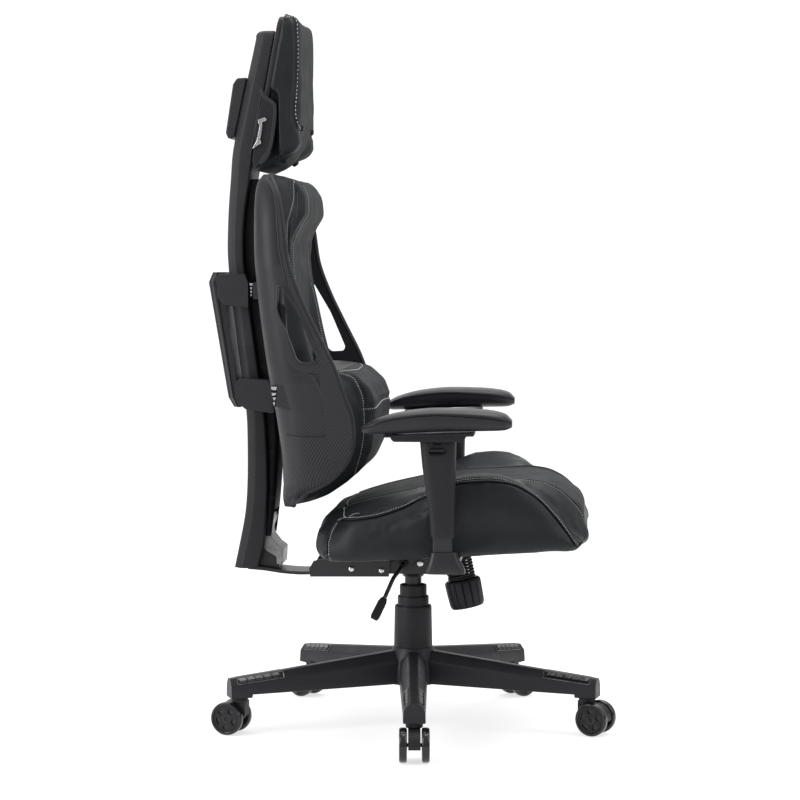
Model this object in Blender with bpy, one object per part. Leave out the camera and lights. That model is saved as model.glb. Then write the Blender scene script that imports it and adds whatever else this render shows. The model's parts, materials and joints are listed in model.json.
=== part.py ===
"""A gaming chair: five-arm base on twin-wheel casters, gas lift, tilt mechanism, seat, sprung back
shell on a curved spine, headrest and height-adjustable armrests. Metres, +Z up, floor at z = 0, the
column on the Z axis. The sitter faces -Y, so -X is the sitter's right."""

import math

import bmesh
import bpy
from mathutils import Matrix, Vector

GAP = 0.0003  # between two pieces that touch

# Base and casters
BASE_YAW = math.radians(184.5)  # the direction of the first arm
ARM_COUNT = 5
STEM_CIRCLE = 0.330
ARM_END = 0.350
HUB_TOP = 0.143
HUB_BOTTOM = 0.076
SOCKET_BOTTOM = 0.067
WHEEL_RADIUS = 0.030
CASTER_TRAIL = 0.017
CASTER_TURNS = [math.radians(a) for a in (0, 62, 127, -127, -110)]  # from the first arm's direction
STEM_RADIUS = 0.0055

# Column
TUBE_RADIUS = 0.0220
LIFT_RADIUS = 0.0155
LIFT_TOP = 0.2945
ROUND = 24  # sides of the column's round pieces

# Seat and mechanism
SEAT_Z = 0.3338  # underside of the seat board at y = 0
SEAT_SLOPE = 0.0603  # the seat rises towards its front
TILT_Y = -0.014
TILT_Z = 0.301
HOUSING_HALF = 0.055
BUSH_FACE = HOUSING_HALF + 0.0017  # room for the lever bush to tip
PLATE_HALF = 0.100
SPRING_LEAN = math.radians(12)
SPRING_TOP = Vector((0, -0.081, 0.3125))
SPRING_LENGTH = 0.044
KNOB_LENGTH = 0.052

# Back
FLEX_Y = 0.283
FLEX_Z = 0.800
SPINE_HALF = 0.060
HEADREST_Y = 0.2585
HEADREST_Z = 1.045
SLIDE_LEAN = 0.1881  # the upper spine's front leans forward by this much per metre of height

# Armrests
ARM_X = 0.300
PAD_X = 0.325
ARM_Y = -0.0725
LEFT_ARM_SETBACK = 0.015  # the left armrest is bolted further back in its slots


def empty_scene():
    for item in list(bpy.data.objects):
        bpy.data.objects.remove(item, do_unlink=True)


def material(name, colour, roughness, metallic=0.0):
    made = bpy.data.materials.new(name)
    made.use_nodes = True
    shader = made.node_tree.nodes["Principled BSDF"]
    shader.inputs["Base Color"].default_value = (*colour, 1.0)
    shader.inputs["Roughness"].default_value = roughness
    shader.inputs["Metallic"].default_value = metallic
    return made


def make_materials():
    return {
        "nylon": material("nylon", (0.022, 0.022, 0.024), 0.48),
        "carbon_plastic": material("carbon_plastic", (0.028, 0.028, 0.030), 0.42),
        "leather": material("leather", (0.030, 0.031, 0.033), 0.45),
        "rubber": material("rubber", (0.015, 0.015, 0.016), 0.60),
        "tread": material("tread", (0.018, 0.018, 0.019), 0.25),
        "steel": material("steel", (0.020, 0.020, 0.021), 0.38, 0.6),
        "aluminium": material("aluminium", (0.62, 0.63, 0.64), 0.32, 1.0),
        "chrome": material("chrome", (0.75, 0.75, 0.76), 0.15, 1.0),
        "board": material("board", (0.05, 0.045, 0.04), 0.7),
    }


# ---------------------------------------------------------------- outlines and rings


def smooth(points, steps=3, closed=True):
    """A Catmull-Rom curve through the points."""
    count = len(points)
    dims = range(len(points[0]))
    made = []
    for i in range(count if closed else count - 1):
        if closed:
            a, b, c, d = (points[(i + k - 1) % count] for k in range(4))
        else:
            a, b, c, d = (points[min(max(i + k - 1, 0), count - 1)] for k in range(4))
        for step in range(steps):
            t = step / steps
            made.append(
                tuple(
                    0.5
                    * (
                        2 * b[n]
                        + (c[n] - a[n]) * t
                        + (2 * a[n] - 5 * b[n] + 4 * c[n] - d[n]) * t * t
                        + (3 * b[n] - a[n] - 3 * c[n] + d[n]) * t**3
                    )
                    for n in dims
                )
            )
    if not closed:
        made.append(tuple(points[-1]))
    return made


def at(stations, key):
    """Each value of the stations at key, their first number, along a smooth curve."""
    if key <= stations[0][0]:
        return stations[0][1:]
    for i in range(len(stations) - 1):
        low, high = stations[i], stations[i + 1]
        if key <= high[0]:
            before = stations[max(i - 1, 0)]
            after = stations[min(i + 2, len(stations) - 1)]
            span = high[0] - low[0]
            t = (key - low[0]) / span
            values = []
            for n in range(1, len(low)):
                m0 = (high[n] - before[n]) / (high[0] - before[0]) * span
                m1 = (after[n] - low[n]) / (after[0] - low[0]) * span
                values.append(
                    (2 * t**3 - 3 * t**2 + 1) * low[n]
                    + (t**3 - 2 * t**2 + t) * m0
                    + (3 * t**2 - 2 * t**3) * high[n]
                    + (t**3 - t**2) * m1
                )
            return tuple(values)
    return stations[-1][1:]


def spread(low, high, count):
    return [low + (high - low) * i / (count - 1) for i in range(count)]


def circle(radius, sides, start=0.0):
    turns = [start + 2 * math.pi * i / sides for i in range(sides)]
    return [(radius * math.cos(a), radius * math.sin(a)) for a in turns]


def superellipse(half_x, low, high, sides, power):
    """A rounded box outline in X and Z, between two heights."""
    middle, half_z = (low + high) / 2, (high - low) / 2
    made = []
    for i in range(sides):
        a = 2 * math.pi * i / sides
        c, s = math.cos(a), math.sin(a)
        x = half_x * math.copysign(abs(c) ** (2 / power), c)
        z = middle + half_z * math.copysign(abs(s) ** (2 / power), s)
        made.append((x, z))
    return made


# ---------------------------------------------------------------- solids


def outward(bm):
    bmesh.ops.recalc_face_normals(bm, faces=bm.faces)
    return bm


def loft(rings):
    """A solid through rings of points, closed by a face at each end."""
    bm = bmesh.new()
    rows = [[bm.verts.new(p) for p in ring] for ring in rings]
    count = len(rows[0])
    for low, high in zip(rows, rows[1:]):
        for i in range(count):
            j = (i + 1) % count
            bm.faces.new((low[i], low[j], high[j], high[i]))
    bm.faces.new(reversed(rows[0]))
    bm.faces.new(rows[-1])
    return outward(bm)


def triangulated(bm):
    """Curved solids are split into flat faces before anything is cut from them."""
    bmesh.ops.triangulate(bm, faces=bm.faces)
    return bm


def prism(outline, x0, x1):
    """An outline in Y and Z, extruded along X."""
    return loft([[(x, y, z) for y, z in outline] for x in (x0, x1)])


def box(x0, x1, y0, y1, z0, z1):
    return prism([(y0, z0), (y1, z0), (y1, z1), (y0, z1)], x0, x1)


def turned(profile, sides, loop=False):
    """A profile of (radius, z) turned about Z. A loop closes on itself, as for a piece with a bore."""
    bm = bmesh.new()
    rows = [[bm.verts.new((x, y, z)) for x, y in circle(r, sides)] for r, z in profile]
    pairs = list(zip(rows, rows[1:]))
    if loop:
        pairs.append((rows[-1], rows[0]))
    for low, high in pairs:
        for i in range(sides):
            j = (i + 1) % sides
            bm.faces.new((low[i], low[j], high[j], high[i]))
    if not loop:
        bm.faces.new(reversed(rows[0]))
        bm.faces.new(rows[-1])
    return outward(bm)


def rod(start, end, radius, sides=12):
    """A round bar between two points."""
    start, end = Vector(start), Vector(end)
    bm = turned([(radius, 0), (radius, (end - start).length)], sides)
    turn = (end - start).to_track_quat("Z", "Y").to_matrix().to_4x4()
    bm.transform(Matrix.Translation(start) @ turn)
    return bm


def mirrored(bm):
    """The same solid on the other side of the chair."""
    bm.transform(Matrix.Scale(-1, 4, (1, 0, 0)))
    bmesh.ops.reverse_faces(bm, faces=bm.faces)
    return bm


# ---------------------------------------------------------------- objects


def pivot(name, place, parent=None):
    """An empty on a joint's axis. Everything that turns or slides there hangs from it."""
    made = bpy.data.objects.new(name, None)
    bpy.context.collection.objects.link(made)
    made.empty_display_size = 0.02
    made["place"] = list(place)
    if parent:
        made.parent = parent
        made.location = Vector(place) - Vector(parent["place"])
    else:
        made.location = place
    return made


def piece(name, bm, finish, parent, bevel=0.0, flat=False):
    """A named solid, given in the chair's frame, whose origin is its parent's pivot."""
    bmesh.ops.translate(bm, verts=bm.verts, vec=-Vector(parent["place"]))
    mesh = bpy.data.meshes.new(name)
    bm.to_mesh(mesh)
    bm.free()
    mesh.materials.append(finish)
    made = bpy.data.objects.new(name, mesh)
    bpy.context.collection.objects.link(made)
    made.parent = parent
    if not flat:
        mesh.shade_smooth()
        mesh.set_sharp_from_angle(angle=math.radians(35))
    if bevel:
        add_bevel(made, bevel)
    return made


def add_bevel(made, width, segments=1):
    edge = made.modifiers.new("edge", "BEVEL")
    edge.width = width
    edge.segments = segments
    edge.limit_method = "ANGLE"
    edge.angle_limit = math.radians(40)
    edge.use_clamp_overlap = True


def combine(made, bm, operation):
    """Join a solid to a piece, or cut it out, and keep the result as the piece's mesh."""
    bmesh.ops.translate(bm, verts=bm.verts, vec=-Vector(made.parent["place"]))
    mesh = bpy.data.meshes.new("tool")
    bm.to_mesh(mesh)
    bm.free()
    tool = bpy.data.objects.new("tool", mesh)
    bpy.context.collection.objects.link(tool)
    tool.parent = made.parent
    step = made.modifiers.new("step", "BOOLEAN")
    step.operation = operation
    step.object = tool
    step.solver = "EXACT"
    bpy.context.view_layer.update()
    graph = bpy.context.evaluated_depsgraph_get()
    result = bpy.data.meshes.new_from_object(made.evaluated_get(graph))
    made.modifiers.clear()
    made.data = result
    bpy.data.objects.remove(tool, do_unlink=True)
    return made


def join(made, bm):
    return combine(made, bm, "UNION")


def cut(made, bm):
    return combine(made, bm, "DIFFERENCE")


# ---------------------------------------------------------------- base, casters and column


def base_arm(yaw):
    """One arm: a flat ridge, two slanted shoulders and upright sides, with a deeper end for the stem."""
    stations = [  # distance, underside, shoulder, ridge, half width low, half width at the shoulder
        (0.026, 0.0778, 0.1205, 0.1388, 0.0262, 0.0238),
        (0.3110, 0.0727, 0.0938, 0.1056, 0.0200, 0.0184),
        (0.3115, SOCKET_BOTTOM, 0.0937, 0.1055, 0.0200, 0.0184),
        (ARM_END, SOCKET_BOTTOM, 0.0896, 0.1014, 0.0196, 0.0180),
    ]
    ridge = 0.0088
    rings = []
    for r, low, shoulder, top, wide, mid in stations:
        half = [(wide, low), (mid, shoulder), (ridge, top)]
        ring = half + [(-y, z) for y, z in reversed(half)]
        rings.append([(r, y, z) for y, z in ring])
    bm = loft(rings)
    bm.transform(Matrix.Rotation(yaw, 4, "Z"))
    return bm


def make_base(finish, root):
    hub = turned([(0.0475, HUB_BOTTOM), (0.0450, 0.108), (0.0375, HUB_TOP)], ROUND)
    base = piece("base_star", hub, finish["nylon"], root)
    yaws = [BASE_YAW + 2 * math.pi * k / ARM_COUNT for k in range(ARM_COUNT)]
    for yaw in yaws:
        join(base, base_arm(yaw))
    cut(base, turned([(0.0228, 0.05), (0.0228, 0.17)], ROUND))
    for yaw in yaws:
        socket = turned([(0.006, 0.05), (0.006, 0.0955)], 12)
        place = (STEM_CIRCLE * math.cos(yaw), STEM_CIRCLE * math.sin(yaw), 0)
        socket.transform(Matrix.Translation(place))
        cut(base, socket)


def caster_housing_mesh():
    """Stem, neck, hood and axle, about the stem's axis with the trail along +X."""
    axle = (CASTER_TRAIL, WHEEL_RADIUS)
    arc = [math.radians(a) for a in spread(-8, 118, 9)]
    hood = [(axle[0] + 0.0268 * math.cos(a), axle[1] + 0.0268 * math.sin(a)) for a in arc]
    hood += [(-0.004, 0.0610), (-0.0138, 0.0610), (-0.0138, 0.0370), (-0.0060, 0.0263)]
    return loft([[(x, y, z) for x, z in hood] for y in (-0.0105, 0.0105)])


def wheel_mesh(side):
    """A wheel on the axle's line, with its face recessed inside the rim."""
    profile = [
        (0.0040, 0.0125),
        (0.0275, 0.0125),
        (0.0300, 0.0150),
        (0.0300, 0.0240),
        (0.0284, 0.0262),
        (0.0246, 0.0262),
        (0.0236, 0.0248),
        (0.0040, 0.0248),
    ]
    bm = turned(profile, 16, loop=True)
    bm.transform(Matrix.Rotation(-side * math.pi / 2, 4, "X"))
    return bm


def make_casters(finish, root):
    for k in range(ARM_COUNT):
        yaw = BASE_YAW + 2 * math.pi * k / ARM_COUNT
        trail = BASE_YAW + CASTER_TURNS[k]
        stem = (STEM_CIRCLE * math.cos(yaw), STEM_CIRCLE * math.sin(yaw), 0)
        swivel = pivot(f"caster_swivel_{k + 1}", stem, root)
        turn = Matrix.Translation(stem) @ Matrix.Rotation(trail, 4, "Z")
        solids = [
            caster_housing_mesh(),
            turned([(0.0150, 0.0585), (0.0150, SOCKET_BOTTOM - GAP)], 16),
            turned([(STEM_RADIUS, 0.060), (STEM_RADIUS, 0.0945)], 12),
            rod((CASTER_TRAIL, -0.0245, WHEEL_RADIUS), (CASTER_TRAIL, 0.0245, WHEEL_RADIUS), 0.0034),
        ]
        for bm in solids:
            bm.transform(turn)
        housing = piece(f"caster_housing_{k + 1}", solids[0], finish["nylon"], swivel)
        for bm in solids[1:]:
            join(housing, bm)
        centre = turn @ Vector((CASTER_TRAIL, 0, WHEEL_RADIUS))
        axle = pivot(f"caster_axle_{k + 1}", centre, swivel)
        for side, letter in ((1, "a"), (-1, "b")):
            bm = wheel_mesh(side)
            bm.transform(Matrix.Translation(centre) @ Matrix.Rotation(trail, 4, "Z"))
            piece(f"caster_wheel_{k + 1}{letter}", bm, finish["tread"], axle)


def sleeve(outer, inner):
    """A turned tube from an outer profile, bottom to top, and an inner one, top to bottom."""
    return turned(outer + inner, ROUND, loop=True)


def make_column(finish, root):
    nylon = finish["nylon"]
    tube = [(TUBE_RADIUS - 0.001, 0.0815), (TUBE_RADIUS, 0.100), (TUBE_RADIUS, 0.232)]
    tube += [(0.0170, 0.232), (0.0170, 0.0950)]
    piece("gas_stand_tube", turned(tube, ROUND), finish["steel"], root)
    lower = sleeve(
        [(0.0355, HUB_TOP + GAP), (0.0342, 0.2160), (0.0334, 0.2195)],
        [(0.0318, 0.2195), (0.0305, 0.2165), (0.0305, HUB_TOP + GAP)],
    )
    piece("cover_lower", lower, nylon, root)
    middle_slide = pivot("cover_middle_slide", (0, 0, 0.158), root)
    middle = sleeve(
        [(0.0288, 0.158), (0.0288, 0.2345), (0.0280, 0.2370)],
        [(0.0272, 0.2370), (0.0263, 0.2345), (0.0263, 0.158)],
    )
    piece("cover_middle", middle, nylon, middle_slide)
    upper_slide = pivot("cover_upper_slide", (0, 0, 0.174), root)
    upper = sleeve(
        [(0.0250, 0.174), (0.0250, 0.2550), (0.0243, 0.2580)],
        [(0.0236, 0.2580), (0.0228, 0.2555), (0.0228, 0.174)],
    )
    piece("cover_upper", upper, nylon, upper_slide)
    swivel = pivot("seat_swivel", (0, 0, 0.0955), root)
    spindle = [(0.0145, 0.0955), (0.0145, 0.1000), (0.0050, 0.1000), (0.0050, 0.2350)]
    piece("gas_piston_rod", turned(spindle, 16), finish["chrome"], swivel)
    lift = pivot("gas_lift", (0, 0, 0.1305), swivel)
    shaft = [(0.0148, 0.1305), (LIFT_RADIUS, 0.1320), (LIFT_RADIUS, LIFT_TOP), (0.0030, LIFT_TOP),
             (0.0030, 0.2480), (0.0062, 0.2450), (0.0062, 0.1305)]
    bm = turned(shaft, ROUND, loop=True)
    piece("gas_pressure_tube", bm, finish["steel"], lift)
    return lift


# ---------------------------------------------------------------- mechanism


def board_z(y):
    """The underside of the seat board."""
    return SEAT_Z - SEAT_SLOPE * y


def make_mechanism(finish, lift):
    steel = finish["steel"]
    outline = [
        (0.064, 0.2840),
        (0.064, 0.3005),
        (-0.022, 0.3205),
        (-0.118, 0.3265),
        (-0.120, 0.3215),
        (-0.048, 0.3062),
        (-0.042, 0.2840),
    ]
    housing = piece("tilt_housing", prism(outline, -HOUSING_HALF, HOUSING_HALF), steel, lift)
    flare = [(0.0185, 0.2730), (0.0205, 0.2770), (0.0270, 0.2815), (0.0270, 0.2860)]
    join(housing, turned(flare, ROUND))
    cut(housing, turned([(LIFT_RADIUS + GAP * 2, 0.26), (LIFT_RADIUS + GAP * 2, LIFT_TOP + GAP * 2)], ROUND))
    cut(housing, rod((-0.1, TILT_Y, TILT_Z), (0.1, TILT_Y, TILT_Z), 0.0055, 16))
    down = Vector((0, -math.sin(SPRING_LEAN), -math.cos(SPRING_LEAN)))
    cut(housing, rod(SPRING_TOP - down * 0.03, SPRING_TOP + down * 0.03, 0.011, 16))
    pin = [(0.0080, -0.0658), (0.0080, -0.0628), (0.0050, -0.0628), (0.0050, 0.0628)]
    pin += [(0.0080, 0.0628), (0.0080, 0.0658)]
    bm = turned(pin, 16)
    bm.transform(Matrix.Translation((0, TILT_Y, TILT_Z)) @ Matrix.Rotation(math.pi / 2, 4, "Y"))
    piece("tilt_pivot_pin", bm, finish["chrome"], lift)
    make_spring("tension_spring", SPRING_TOP + down * GAP * 2, down, SPRING_LENGTH, 0.026, 0.008, 5,
                finish["rubber"], lift)
    lever_hinge = pivot("lever_hinge", (-HOUSING_HALF, 0.014, 0.303), lift)
    bush = rod((-BUSH_FACE, 0.014, 0.303), (-0.066, 0.014, 0.303), 0.0080, 16)
    bush = piece("lever_bush", bush, finish["rubber"], lever_hinge)
    cut(bush, rod((-0.05, 0.014, 0.303), (-0.08, 0.014, 0.303), 0.0043, 12))
    lever = pivot("lever_slide", (-HOUSING_HALF, 0.014, 0.303), lever_hinge)
    bend = [(-0.0575, 0.014, 0.303), (-0.105, 0.014, 0.303), (-0.125, 0.0155, 0.300),
            (-0.138, 0.025, 0.288), (-0.146, 0.034, 0.268), (-0.152, 0.0395, 0.255)]
    piece("lever_rod", bar(smooth(bend, 3, closed=False), 0.0038, 10), steel, lever)
    piece("lever_grip", make_grip(), finish["nylon"], lever, bevel=0.0012)


def bar(points, radius, sides):
    """A round bar along a bent path that stays close to one vertical plane."""
    rings = []
    points = [Vector(p) for p in points]
    for i, p in enumerate(points):
        ahead = points[min(i + 1, len(points) - 1)] - points[max(i - 1, 0)]
        side = ahead.cross(Vector((0.35, 1, 0.1))).normalized()
        up = side.cross(ahead).normalized()
        rings.append([p + side * c + up * s for c, s in circle(radius, sides)])
    return loft(rings)


def make_grip():
    """The flat paddle on the lever's end."""
    start, end = Vector((-0.1530, 0.0405, 0.2540)), Vector((-0.1740, 0.0575, 0.2185))
    along = (end - start).normalized()
    side = along.cross(Vector((1, 0, 0.3))).normalized()
    thick = along.cross(side).normalized()
    rings = []
    for t, wide, deep in ((0, 0.0050, 0.0050), (0.2, 0.0075, 0.0055), (0.85, 0.0080, 0.0045),
                          (1, 0.0065, 0.0035)):
        p = start.lerp(end, t)
        corners = ((1, 1), (-1, 1), (-1, -1), (1, -1))
        rings.append([p + side * wide * a + thick * deep * b for a, b in corners])
    return loft(rings)


def make_spring(name, top, down, length, radius, wire, turns, finish, parent):
    """A coil spring's outer shape: a ribbed tube with one rib for each turn."""
    rise = length / turns
    profile = []
    for i in range(turns):
        profile += [(radius - wire * 0.4, i * rise), (radius, (i + 0.5) * rise)]
    profile += [(radius - wire * 0.4, length), (radius - wire, length), (radius - wire, 0)]
    bm = turned(profile, 14, loop=True)
    turn = down.to_track_quat("Z", "Y").to_matrix().to_4x4()
    bm.transform(Matrix.Translation(top) @ turn)
    return piece(name, bm, finish, parent)


def make_tension(finish, seat):
    """The bolt that the seat plate pulls on, and the knob that sets the spring."""
    down = Vector((0, -math.sin(SPRING_LEAN), -math.cos(SPRING_LEAN)))
    knob_top = SPRING_TOP + down * (SPRING_LENGTH + GAP * 4)
    bolt_top = SPRING_TOP - down * 0.0185
    bolt = rod(bolt_top, knob_top + down * 0.030, 0.0040, 12)
    piece("tension_bolt", bolt, finish["steel"], seat)
    turn = pivot("tension_knob_turn", knob_top, seat)
    flutes = 14
    rings = []
    for z, r in ((0, 0.0318), (0.004, 0.0335), (0.046, 0.0318), (KNOB_LENGTH, 0.0295)):
        ring = []
        for i in range(flutes * 2):
            a = math.pi * i / flutes
            edge = r - (0.0012 if i % 2 else 0.0)
            ring.append((edge * math.cos(a), edge * math.sin(a), z))
        rings.append(ring)
    bm = loft(rings)
    place = Matrix.Translation(knob_top) @ down.to_track_quat("Z", "Y").to_matrix().to_4x4()
    bm.transform(place)
    knob = piece("tension_knob", bm, finish["nylon"], turn)
    cut(knob, rod(knob_top - down * 0.01, knob_top + down * 0.0306, 0.0044, 12))


def board_solid(grown):
    """The seat board, or the same shape grown on its top and edges for the pocket it sits in."""
    plan = [(0.110, 0.138), (0.190, 0.118), (0.222, 0.060), (0.228, -0.200), (0.212, -0.262),
            (0.150, -0.284)]
    plan = plan + [(-x, y) for x, y in reversed(plan)]
    plan = [(x + math.copysign(grown, x), y + math.copysign(grown, y)) for x, y in plan]
    return loft([[(x, y, board_z(y) + z) for x, y in plan] for z in (-grown * 10, 0.0117 + grown)])


def make_seat_frame(finish, seat):
    steel = finish["steel"]
    top, under = GAP, 0.0063
    plate = [(0.150, board_z(0.150) - top), (-0.150, board_z(-0.150) - top)]
    plate += [(-0.150, board_z(-0.150) - under), (0.150, board_z(0.150) - under)]
    frame = piece("seat_plate", prism(plate, -PLATE_HALF, PLATE_HALF), steel, seat)
    ear = [(-0.036, 0.331), (-0.030, 0.2925), (-0.020, 0.2890), (-0.008, 0.2890), (0.002, 0.2925),
           (0.006, 0.3290)]
    flange = [(0.036, 0.3270), (0.040, 0.2795), (0.184, 0.2780), (0.186, 0.2930), (0.178, 0.3070),
              (0.157, 0.3120), (0.148, 0.3210)]
    for side in (-1, 1):
        inner, outer = sorted((side * 0.058, side * 0.062))
        join(frame, prism(ear, inner, outer))
        join(frame, prism(flange, inner, outer))
    join(frame, box(-0.0590, 0.0590, 0.080, 0.182, 0.2885, 0.2915))
    cut(frame, rod((-0.1, TILT_Y, TILT_Z), (0.1, TILT_Y, TILT_Z), 0.0055, 16))
    piece("seat_pan", board_solid(0.0), finish["board"], seat)
    path = [(0.072, 0.2850), (0.120, 0.2845), (0.170, 0.2825), (0.205, 0.2812), (0.240, 0.2835),
            (0.270, 0.2880), (0.302, 0.2905)]
    path = smooth(path, 2, closed=False)
    half = 0.0030
    strip = [(y, z + half) for y, z in path] + [(y, z - half) for y, z in reversed(path)]
    tongue = piece("back_bar", prism(strip, -0.037, 0.037), steel, seat)
    foot = [(0.2460, 0.2850), (0.2460, 0.3130), (0.2600, 0.3220), (0.2750, 0.3330), (0.2900, 0.3340),
            (0.2900, 0.2900)]
    join(tongue, prism(foot, -0.0250, 0.0250))


# ---------------------------------------------------------------- spine and back

SPINE = [  # height, rear face, front edge of the side face, front of the front cover
    (0.292, 0.3260, 0.2820, 0.2640),
    (0.337, 0.3165, 0.2700, 0.2600),
    (0.393, 0.3060, 0.2650, 0.2530),
    (0.448, 0.3020, 0.2625, 0.2480),
    (0.523, 0.3015, 0.2640, 0.2440),
    (0.578, 0.3035, 0.2680, 0.2460),
    (0.700, 0.3190, 0.2850, 0.2580),
    (0.852, 0.3359, 0.3040, 0.2720),
    (0.929, 0.3354, 0.3030, 0.2730),
    (1.002, 0.3304, 0.2930, 0.2690),
    (1.060, 0.3250, 0.2840, 0.2640),
    (1.255, 0.2832, 0.2473, 0.2300),
]
SPINE_STEPS = [0.292, 0.320, 0.350, 0.393, 0.448, 0.523, 0.578, 0.640, 0.700, 0.770, 0.852, 0.929,
               0.965, 1.002, 1.030, 1.060, 1.255]


def make_spine(finish, seat):
    rings = []
    for z in SPINE_STEPS:
        rear, side, _ = at(SPINE, z)
        half = [(0.0, side), (SPINE_HALF - 0.004, side), (SPINE_HALF, side + 0.004),
                (SPINE_HALF, rear - 0.014), (SPINE_HALF - 0.015, rear)]
        rings.append([(x, y, z) for x, y in half] + [(-x, y, z) for x, y in reversed(half[1:])])
    rear, side, _ = at(SPINE, 1.255)
    tip = [(x * 0.90, side + 0.001 + (y - side) * 0.80, 1.2690) for x, y, _ in rings[-1]]
    rings.append(tip)
    spine = piece("spine_rear_cover", loft(rings), finish["carbon_plastic"], seat)
    cut(spine, box(-0.0125, 0.0125, 0.20, 0.40, 1.083, 1.207))
    rings = []
    for z in SPINE_STEPS[2:14]:
        _, side, front = at(SPINE, z)
        half = [(0.038, front), (0.046, front + 0.006), (0.046, side - GAP)]
        rings.append([(x, y, z) for x, y in half] + [(-x, y, z) for x, y in reversed(half)])
    front = piece("spine_front_cover", loft(rings), finish["nylon"], seat)
    outline = [(0.2590, 0.3960), (0.2655, 0.3880), (0.2775, 0.3560), (0.2765, 0.3380),
               (0.2660, 0.3260), (0.2520, 0.3180), (0.2450, 0.3150), (0.2450, 0.2945),
               (0.2380, 0.2935), (0.2380, 0.3190), (0.2500, 0.3290), (0.2600, 0.3360),
               (0.2620, 0.3500), (0.2550, 0.3780), (0.2530, 0.3920)]
    slot = [(0.2680, 0.3530), (0.2710, 0.3545), (0.2645, 0.3800), (0.2615, 0.3785)]
    bracket = piece("spine_bracket", prism(outline, -0.0350, -0.0265), finish["aluminium"], seat)
    join(bracket, prism(outline, 0.0265, 0.0350))
    join(bracket, box(-0.030, 0.030, 0.2380, 0.2450, 0.2960, 0.3120))
    cut(bracket, prism(slot, -0.05, 0.05))
    cut(front, box(-0.0362, 0.0362, 0.240, 0.2790, 0.330, 0.3975))
    cut(spine, box(-0.0376, 0.0376, 0.230, 0.2815, 0.280, 0.3975))
    cut(spine, box(-0.0376, 0.0376, 0.270, 0.3045, 0.280, 0.3365))


def spine_rear(z):
    return at(SPINE, z)[0]


def upper_rear(z):
    """The rear face of the straight upper spine."""
    low, high = spine_rear(1.060), spine_rear(1.255)
    return low + (high - low) * (z - 1.060) / 0.195


def make_back_frame(finish, seat):
    """The tapered box behind the spine and the two clamps that hold the back shell to it."""
    stations = [  # height, front, rear, half width
        (0.586, 0.3145, 0.3290, 0.036),
        (0.604, 0.3170, 0.3380, 0.044),
        (0.815, 0.3445, 0.3725, 0.050),
        (0.833, 0.3465, 0.3660, 0.042),
    ]
    rings = []
    for z, front, rear, half in stations:
        ring = [(half, front), (half, rear - 0.010), (half - 0.014, rear)]
        rings.append([(x, y, z) for x, y in ring] + [(-x, y, z) for x, y in reversed(ring)])
    piece("back_brace", loft(rings), finish["nylon"], seat)
    outlines = {
        "clamp_upper": [(0.3510, 0.8230), (0.3440, 0.8300), (0.2980, 0.8300), (0.2915, 0.8140),
                        (0.2915, 0.7700), (0.3330, 0.7740), (0.3470, 0.7870)],
        "clamp_lower": [(0.3180, 0.6320), (0.3090, 0.6420), (0.2570, 0.6390), (0.2500, 0.6240),
                        (0.2490, 0.5790), (0.2980, 0.5860), (0.3130, 0.5990)],
    }
    for name, outline in outlines.items():
        zs = [z for _, z in outline]
        low, high = min(zs) + 0.012, max(zs) - 0.012
        clamp = piece(name, prism(outline, -0.092, -0.0604), finish["carbon_plastic"], seat)
        join(clamp, prism(outline, 0.0604, 0.092))
        rear = [spine_rear(z) for z in (low, high)]
        bridge = [(rear[0] + 0.0006, low), (rear[0] + 0.0080, low), (rear[1] + 0.0080, high),
                  (rear[1] + 0.0006, high)]
        join(clamp, prism(bridge, -0.075, 0.075))
        add_bevel(clamp, 0.0035)
    for side, letter in ((-1, "right"), (1, "left")):
        top = Vector((side * 0.0800, 0.2418, 0.6310))
        make_spring(f"flex_spring_{letter}", top, Vector((0, 0, -1)), 0.038, 0.0050, 0.0025, 4,
                    finish["chrome"], seat)


SHELL = [  # height, rear face, wing's front edge, half width
    (0.414, 0.2230, 0.2130, 0.140),
    (0.430, 0.2220, 0.2000, 0.168),
    (0.445, 0.2215, 0.1780, 0.188),
    (0.467, 0.2210, 0.1330, 0.208),
    (0.507, 0.2200, 0.0970, 0.228),
    (0.546, 0.2235, 0.0890, 0.240),
    (0.585, 0.2285, 0.0920, 0.246),
    (0.615, 0.2340, 0.1030, 0.249),
    (0.669, 0.2430, 0.1220, 0.251),
    (0.732, 0.2520, 0.1530, 0.251),
    (0.788, 0.2590, 0.1800, 0.249),
    (0.848, 0.2645, 0.2020, 0.245),
    (0.909, 0.2660, 0.2110, 0.238),
    (0.962, 0.2655, 0.2210, 0.222),
    (0.990, 0.2620, 0.2320, 0.204),
    (1.006, 0.2530, 0.2430, 0.186),
]
SHELL_THICKNESS = 0.009
SHELL_CORNER = 0.055
CUSHION_LOW = 0.462  # below this height the cushions keep their width


def shell_corner(rear, front):
    """The radius where the shell's back turns into its wing."""
    return max(min(SHELL_CORNER, (rear - front) * 0.8), SHELL_THICKNESS * 2)


def shell_point(u, z, inset=0.0):
    """A point of the shell at height z, with u from -1 at one wing's edge to 1 at the other's."""
    rear, front, half = at(SHELL, z)
    corner = shell_corner(rear, front)
    back_run = half - corner
    side_run = max(rear - front - corner, 0.0)
    arc_run = corner * math.pi / 2
    total = back_run + arc_run + side_run
    s = abs(u) * total
    reach = corner - inset
    if s < back_run:
        x, y = s, rear - inset
    elif s < back_run + arc_run:
        a = (s - back_run) / corner
        x, y = back_run + reach * math.sin(a), rear - corner + reach * math.cos(a)
    else:
        x, y = half - inset, rear - corner - (s - back_run - arc_run)
    return (math.copysign(x, u), y, z)


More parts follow.
